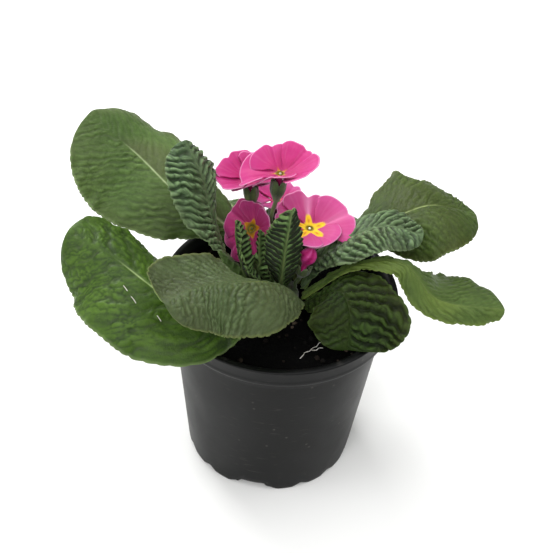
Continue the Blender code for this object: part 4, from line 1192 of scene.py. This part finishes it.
def make_pot():
    """The pot's closed profile turned round the axis. Only the foot ring follows foot_height."""
    angle = full_turn(POT_SEGMENTS)
    under = [(0, 0), (12, 0), (23.6, 0), (24.2, 0.3), (25.4, 3.5), (25.9, CHANNEL_HEIGHT),
             (35.0, CHANNEL_HEIGHT), (35.5, 3.5)]
    foot = [(36.5, 0.2), (36.9, 0.0), (38.6, 0.0), (39.1, 0.15), (FOOT_RADIUS, 0.5)]
    wall = [(float(outer(z)), z) for z in np.linspace(2.0, WALL_TOP, 28)]
    band = [(47.9, 80.6), (50.9, 83.2), (51.4, 83.6), (51.7, 84.2), (51.9, 85.2), (51.85, 85.9),
            (51.83, 86.4), (51.9, 87.0), (RIM_RADIUS - 0.2, 91.0), (RIM_RADIUS - 0.08, 91.5),
            (RIM_RADIUS - 0.2, 91.85), (RIM_RADIUS - 0.6, POT_HEIGHT), (50.4, POT_HEIGHT)]
    inner = [(49.7, 91.85), (48.6, 90.8), (47.7, 89.7), (47.2, 88.6), (46.95, 87.0), (46.9, 84.0),
             (46.4, 81.0), (float(outer(76)) - WALL, 76), (float(outer(7)) - WALL, 7)]
    floor = [(36.4, 5.3), (26.0, 5.2), (23.8, 1.7), (0, 1.6)]
    profile = np.array(under + foot + wall + band + inner + floor, float)
    radius, height = profile.T[..., None] * np.ones(POT_SEGMENTS)
    first, above = len(under), len(under) + len(foot)
    height[first:above] += foot_height(angle)
    height[above] = np.maximum(height[above], foot_height(angle) + 1.0)
    height[above + 1] = np.maximum(height[above + 1], foot_height(angle) + 1.8)
    return make_piece("nursery_pot", rings(radius, height, angle),
                      tube_quads(len(profile), POT_SEGMENTS), [POT])


def drill_floor(piece, count=8, circle=30.5, hole=2.5):
    """Takes upright pegs away from the pot's floor, where water drains, and keeps the result.

    circle is the radius in mm on which the pegs stand, and hole is the radius of each.
    """
    bm = bmesh.new()
    for k in range(count):
        turn = NOTCH_CENTRE + 2 * math.pi * k / count
        spot = Vector((circle * math.cos(turn), circle * math.sin(turn), 4.4)) / 1000
        bmesh.ops.create_cone(bm, cap_ends=True, segments=32, radius1=hole / 1000, radius2=hole / 1000,
                              depth=0.004, matrix=Matrix.Translation(spot))
    mesh = bpy.data.meshes.new("pegs")
    bm.to_mesh(mesh)
    bm.free()
    pegs = bpy.data.objects.new("pegs", mesh)
    bpy.context.scene.collection.objects.link(pegs)
    cut = piece.modifiers.new("drain holes", "BOOLEAN")
    cut.operation = "DIFFERENCE"
    cut.solver = "EXACT"
    cut.object = pegs
    bpy.context.view_layer.update()
    whole = piece.data
    drilled = piece.evaluated_get(bpy.context.evaluated_depsgraph_get())
    piece.data = bpy.data.meshes.new_from_object(drilled)
    piece.modifiers.clear()
    bpy.data.objects.remove(pegs)
    bpy.data.meshes.remove(whole)
    return piece


settle(drill_floor(make_pot()), "pot")

# %% [markdown]
# ## Compost finish
# Damp peat compost drinks nearly all light: it is almost black, with a few brown fibres. Crumbs
# that have dried on top are paler, brown to grey. Both are rough all over, with hardly a gleam.

# %% Compost finish
def compost_finish():
    """Nearly black brown, speckled with fibre of 2 mm, and rough all over."""
    mat, tree, place = new_material("peat compost, damp")
    cloud = add(tree, "ShaderNodeTexNoise", {},
                {"Vector": (place, "Object"), "Scale": per_metre(2), "Detail": 6.0, "Roughness": 0.75})
    brown = ramp(tree, (cloud, "Fac"),
                 [(0.35, "#010101"), (0.58, "#030303"), (0.7, "#0b0806"), (0.82, "#3a2d22")])
    bump = add(tree, "ShaderNodeBump", {},
               {"Height": (cloud, "Fac"), "Strength": 0.9, "Distance": 0.001})
    return shade(mat, {"Roughness": 0.9, "Specular IOR Level": 0.08},
                 {"Base Color": (brown, "Color"), "Normal": (bump, 0)})


def crumb_finish():
    """Dry peat: brown to grey in patches of 11 mm, so that most crumbs have one tone."""
    mat, tree, place = new_material("peat crumbs, dry")
    cloud = add(tree, "ShaderNodeTexNoise", {},
                {"Vector": (place, "Object"), "Scale": per_metre(11.1), "Detail": 4.0})
    brown = ramp(tree, (cloud, "Fac"), [(0.4, "#060504"), (0.55, "#17110d"), (0.66, "#4c4238")])
    return shade(mat, {"Roughness": 0.9, "Specular IOR Level": 0.15}, {"Base Color": (brown, "Color")})


COMPOST = compost_finish()
CRUMB = crumb_finish()

# %% [markdown]
# ## The compost
# The compost fills the pot to just under its lip. Only its top is seen, and its edge where light
# falls between leaves. It is one closed body of rings: a socket for the crown, an uneven top, and
# sides that follow the inside of the pot.

# %% Compost
COMPOST_LEVEL = 85.3
COMPOST_SEGMENTS = 180
SOCKET_RADIUS = 8.9
SOCKET_FLOOR = 80.0
WALL_AND_GAP = WALL + 0.4


def ground(x, y):
    """Height of the compost at a place: crumbs as the domes of cells, on slow waves."""
    near, gap = cells(x + 300, y + 300, 3.2, 41)
    return COMPOST_LEVEL + 0.9 * (0.7 - near) + 0.7 * waves(x, y, 14, 42) + 0.4 * ease(gap, 0, 0.4)


def make_compost():
    """Closed body of compost: rings from the socket over the top, down the sides and below."""
    angle = full_turn(COMPOST_SEGMENTS)
    top = np.linspace(SOCKET_RADIUS, 46.4, 52)[:, None]
    sides = np.array([(46.5, 84.0), (46.0, 81.0), (float(outer(75.8)) - WALL_AND_GAP, 75.8),
                      (float(outer(7)) - WALL_AND_GAP, 7.2), (36.0, 5.7), (25.7, 5.6), (23.2, 2.0),
                      (0, 1.95)])
    radius = np.concatenate([[[0.0], [SOCKET_RADIUS]], top, sides[:, :1]])
    height = np.concatenate([np.full((2, COMPOST_SEGMENTS), SOCKET_FLOOR),
                             ground(top * np.cos(angle), top * np.sin(angle)),
                             sides[:, 1:] * np.ones(COMPOST_SEGMENTS)])
    return make_piece("compost", rings(radius, height, angle),
                      quads_of(len(radius), COMPOST_SEGMENTS, wrap=True), [COMPOST])


settle(make_compost(), "soil")

# %% [markdown]
# ## Crumbs
# Potting leaves loose crumbs on the compost and on the inside of the lip. Ninety are scattered by
# a seeded draw, evenly over the area, and a few are listed one by one where the photograph shows them.
# They are lumpy balls of only forty points each, all in one piece.

# %% Crumbs
LOOSE_CRUMBS = 90
BALL_RINGS = 5
BALL_SEGMENTS = 8
# Crumbs on the lip and the compost that are listed one by one: place and size in mm.
SET_CRUMBS = [(5.6, -46.6, 87.4, 0.9), (8.5, -47, 89, 0.7), (12.4, -47.3, 90.3, 0.8),
              (26.1, -41.2, 91.3, 0.5), (31.9, -36.5, 91.1, 0.6), (35.5, -35.4, 92.2, 0.7),
              (37.3, -34.4, 92.3, 0.5), (33.9, 12.7, 88, 2.2), (32.0, 15.5, 88, 1.7)]


def make_crumbs():
    """Loose lumps: flattened balls whose radius is drawn anew at each point."""
    draw = np.random.default_rng(51)
    far = np.sqrt(draw.uniform(0.07, 0.95, LOOSE_CRUMBS)) * 45.5
    turn = draw.uniform(0, 2 * math.pi, LOOSE_CRUMBS)
    places = [(a, b, float(ground(a, b)), draw.uniform(0.5, 1.5))
              for a, b in zip(far * np.cos(turn), far * np.sin(turn))]
    bend = np.linspace(-math.pi / 2, math.pi / 2, BALL_RINGS)[:, None]
    points, quads = [], []
    for a, b, z, size in places + SET_CRUMBS:
        lump = size * draw.uniform(0.7, 1.2, (BALL_RINGS, BALL_SEGMENTS))
        lump[[0, -1]] = size
        ball = rings(lump * np.cos(bend), 0.7 * lump * np.sin(bend), full_turn(BALL_SEGMENTS))
        first = BALL_RINGS * BALL_SEGMENTS * len(points)
        quads.append(tube_quads(BALL_RINGS, BALL_SEGMENTS, first))
        points.append(ball.reshape(-1, 3) + (a, b, z + 0.2 * size))
    return make_piece("compost_crumbs", np.concatenate(points), np.concatenate(quads), [CRUMB])


settle(make_crumbs(), None)

# %% [markdown]
# ## The crown
# All leaves and stalks rise from the crown, a short green stump that stands in the compost. Hardly
# any of it shows between them, so a fluted dome is enough: a profile turned round the axis, with
# its radius pinched between the leaf bases.

# %% Crown
CROWN_PROFILE = np.array([(0, 80.4), (7.4, 80.4), (8.2, 83), (8.4, 86), (8.4, 88.5), (8.2, 90.8),
                          (7.4, 92.2), (6.2, 93.3), (4.6, 94.1), (2.6, 94.7), (0, 95.0)])
CROWN_SEGMENTS = 66


def make_crown():
    """The stump between the leaf bases: radius * (1 - 0.06 |sin(5.5 angle)|)."""
    angle = full_turn(CROWN_SEGMENTS)
    flute = 1 - 0.06 * np.abs(np.sin(5.5 * angle))
    grid = rings(CROWN_PROFILE[:, :1] * flute, CROWN_PROFILE[:, 1:], angle)
    return make_piece("crown_stump", grid, tube_quads(len(CROWN_PROFILE), CROWN_SEGMENTS), [STALK],
                      attributes={"vein": 0.5 * np.ones(grid.shape[:2])})


settle(make_crown(), "crown")

# %% [markdown]
# ## Threads
# A thin white root lies on the compost, and a few pale fibres lie on the low left leaf. Each is a
# narrow tube swept along a bent path. A fibre's path is given in the leaf's own s and t, so it
# stays on the blade. Both are dry and nearly white, with a slight grain.

# %% Threads
def thread_finish():
    """Young roots and plant hairs are nearly white and matt, in patches of 3 mm."""
    mat, tree, place = new_material("root thread, dry")
    cloud = add(tree, "ShaderNodeTexNoise", {}, {"Vector": (place, "Object"), "Scale": per_metre(3.33)})
    pale = ramp(tree, (cloud, "Fac"), [(0.3, "#cfcabf"), (0.7, "#f2f0ea")])
    return shade(mat, {"Roughness": 0.7}, {"Base Color": (pale, "Color")})


def on_leaf(name, places, lift):
    """Points at a height above a leaf's upper side, at places (s, t)."""
    leaf = ROSETTE[name]
    s, t = np.array(places, float).T
    sheet, width, length = leaf_sheet(leaf, s, t, 0)
    ahead = leaf_sheet(leaf, s + 0.01, t, 0)[0] - sheet
    aside = leaf_sheet(leaf, s, t + 0.01, 0)[0] - sheet
    normal = np.cross(ahead, aside)
    normal /= np.linalg.norm(normal, axis=-1, keepdims=True)
    height = leaf_relief(leaf, s, t, width, length)[0]
    return sheet + normal * (height + 0.2 + lift)[:, None]


def make_threads(name, paths, radius, segments=6):
    """Tubes of one radius with closed ends, all in one mesh."""
    profile = [(0, 0)] + [(v, radius) for v in np.linspace(0, 1, 15)] + [(1, 0)]
    points, quads = [], []
    for path in paths:
        first = len(profile) * segments * len(points)
        quads.append(tube_quads(len(profile), segments, first))
        points.append(sweep(path, profile, segments).reshape(-1, 3))
    return make_piece(name, np.concatenate(points), np.concatenate(quads), [THREAD])


THREAD = thread_finish()
ROOT = [(10.6, -37.6), (12, -35.5), (12.6, -33), (14.6, -32.4), (15.6, -30), (17.6, -29.4),
        (18.2, -27.6), (20.4, -26.4)]
BRANCH = [(15.2, -31.2), (17.4, -31.2), (18.4, -30), (20.2, -29.6)]
FIBRES = [[(0.69, 0.262), (0.675, 0.275), (0.664, 0.29)], [(0.64, 0.315), (0.625, 0.33), (0.61, 0.352)],
          [(0.528, 0.33), (0.52, 0.345), (0.509, 0.376)]]
roots = [[(x, y, float(ground(x, y)) + 0.5) for x, y in way] for way in (ROOT, BRANCH)]
settle(make_threads("root_thread", roots, 0.13))
settle(make_threads("leaf_fibres", [on_leaf("leaf_low_left", way, 0.3) for way in FIBRES], 0.14))

# %% [markdown]
# ## The floor
# The plant stands on a pale seamless card, which catches its soft shadow. It is far larger than
# the plant, so that no edge shows at the photograph's angle. From a low angle it ends in a
# horizon.

# %% Floor
FLOOR_REACH = 3000.0


def card_finish():
    """Matt white card, a shade uneven over 125 mm."""
    mat, tree, place = new_material("white studio card")
    cloud = add(tree, "ShaderNodeTexNoise", {}, {"Vector": (place, "Object"), "Scale": per_metre(125)})
    tone = ramp(tree, (cloud, "Fac"), [(0.3, "#f4f4f3"), (0.7, "#f8f8f7")])
    return shade(mat, {"Roughness": 0.9}, {"Base Color": (tone, "Color")})


corners = FLOOR_REACH * np.array([(-1, -1, 0), (1, -1, 0), (1, 1, 0), (-1, 1, 0)])
floor = make_piece("studio_floor", corners, np.array([[0, 1, 2, 3]]), [card_finish()])
print("floor reaches", FLOOR_REACH / 1000, "m each way")

# %% [markdown]
# ## Light
# The photograph's light is broad and comes mostly from above and behind, so that leaf tops look
# greyish and edges are bright. A soft white room gives the even part of it, and four square soft
# boxes give its direction.

# %% Light
world = bpy.data.worlds.new("soft white room")
bpy.context.scene.world = world
world.use_nodes = True
world.node_tree.nodes["Background"].inputs["Color"].default_value = linear("#ffffff")
world.node_tree.nodes["Background"].inputs["Strength"].default_value = 0.5
bpy.context.scene.view_settings.view_transform = "Standard"


def area_light(name, place, target, width, power):
    """A white square soft box at a place in millimetres, turned to a target. Power is in watts."""
    data = bpy.data.lights.new(name, "AREA")
    data.shape = "SQUARE"
    data.size = width / 1000
    data.energy = power
    light = bpy.data.objects.new(name, data)
    bpy.context.scene.collection.objects.link(light)
    light.location = Vector(place) / 1000
    away = Vector(place) - Vector(target)
    light.rotation_euler = away.to_track_quat("Z", "Y").to_euler()
    print(name, "at", place, "mm,", power, "W")


area_light("window behind and to the left", (-420, 620, 800), (0, 0, 90), 520, 9)
area_light("overhead soft box", (150, -50, 900), (0, 0, 100), 700, 4)
area_light("front soft box", (-150, -650, 620), (-10, 0, 110), 450, 3)
area_light("left fill", (-800, -200, 350), (0, 0, 60), 400, 1.5)

# %% Sizes and finish
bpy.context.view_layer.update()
pieces = [o for o in bpy.data.objects if o.type == "MESH" and "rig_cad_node" not in o]
print("triangles:", sum(len(p.vertices) - 2 for o in pieces for p in o.data.polygons))
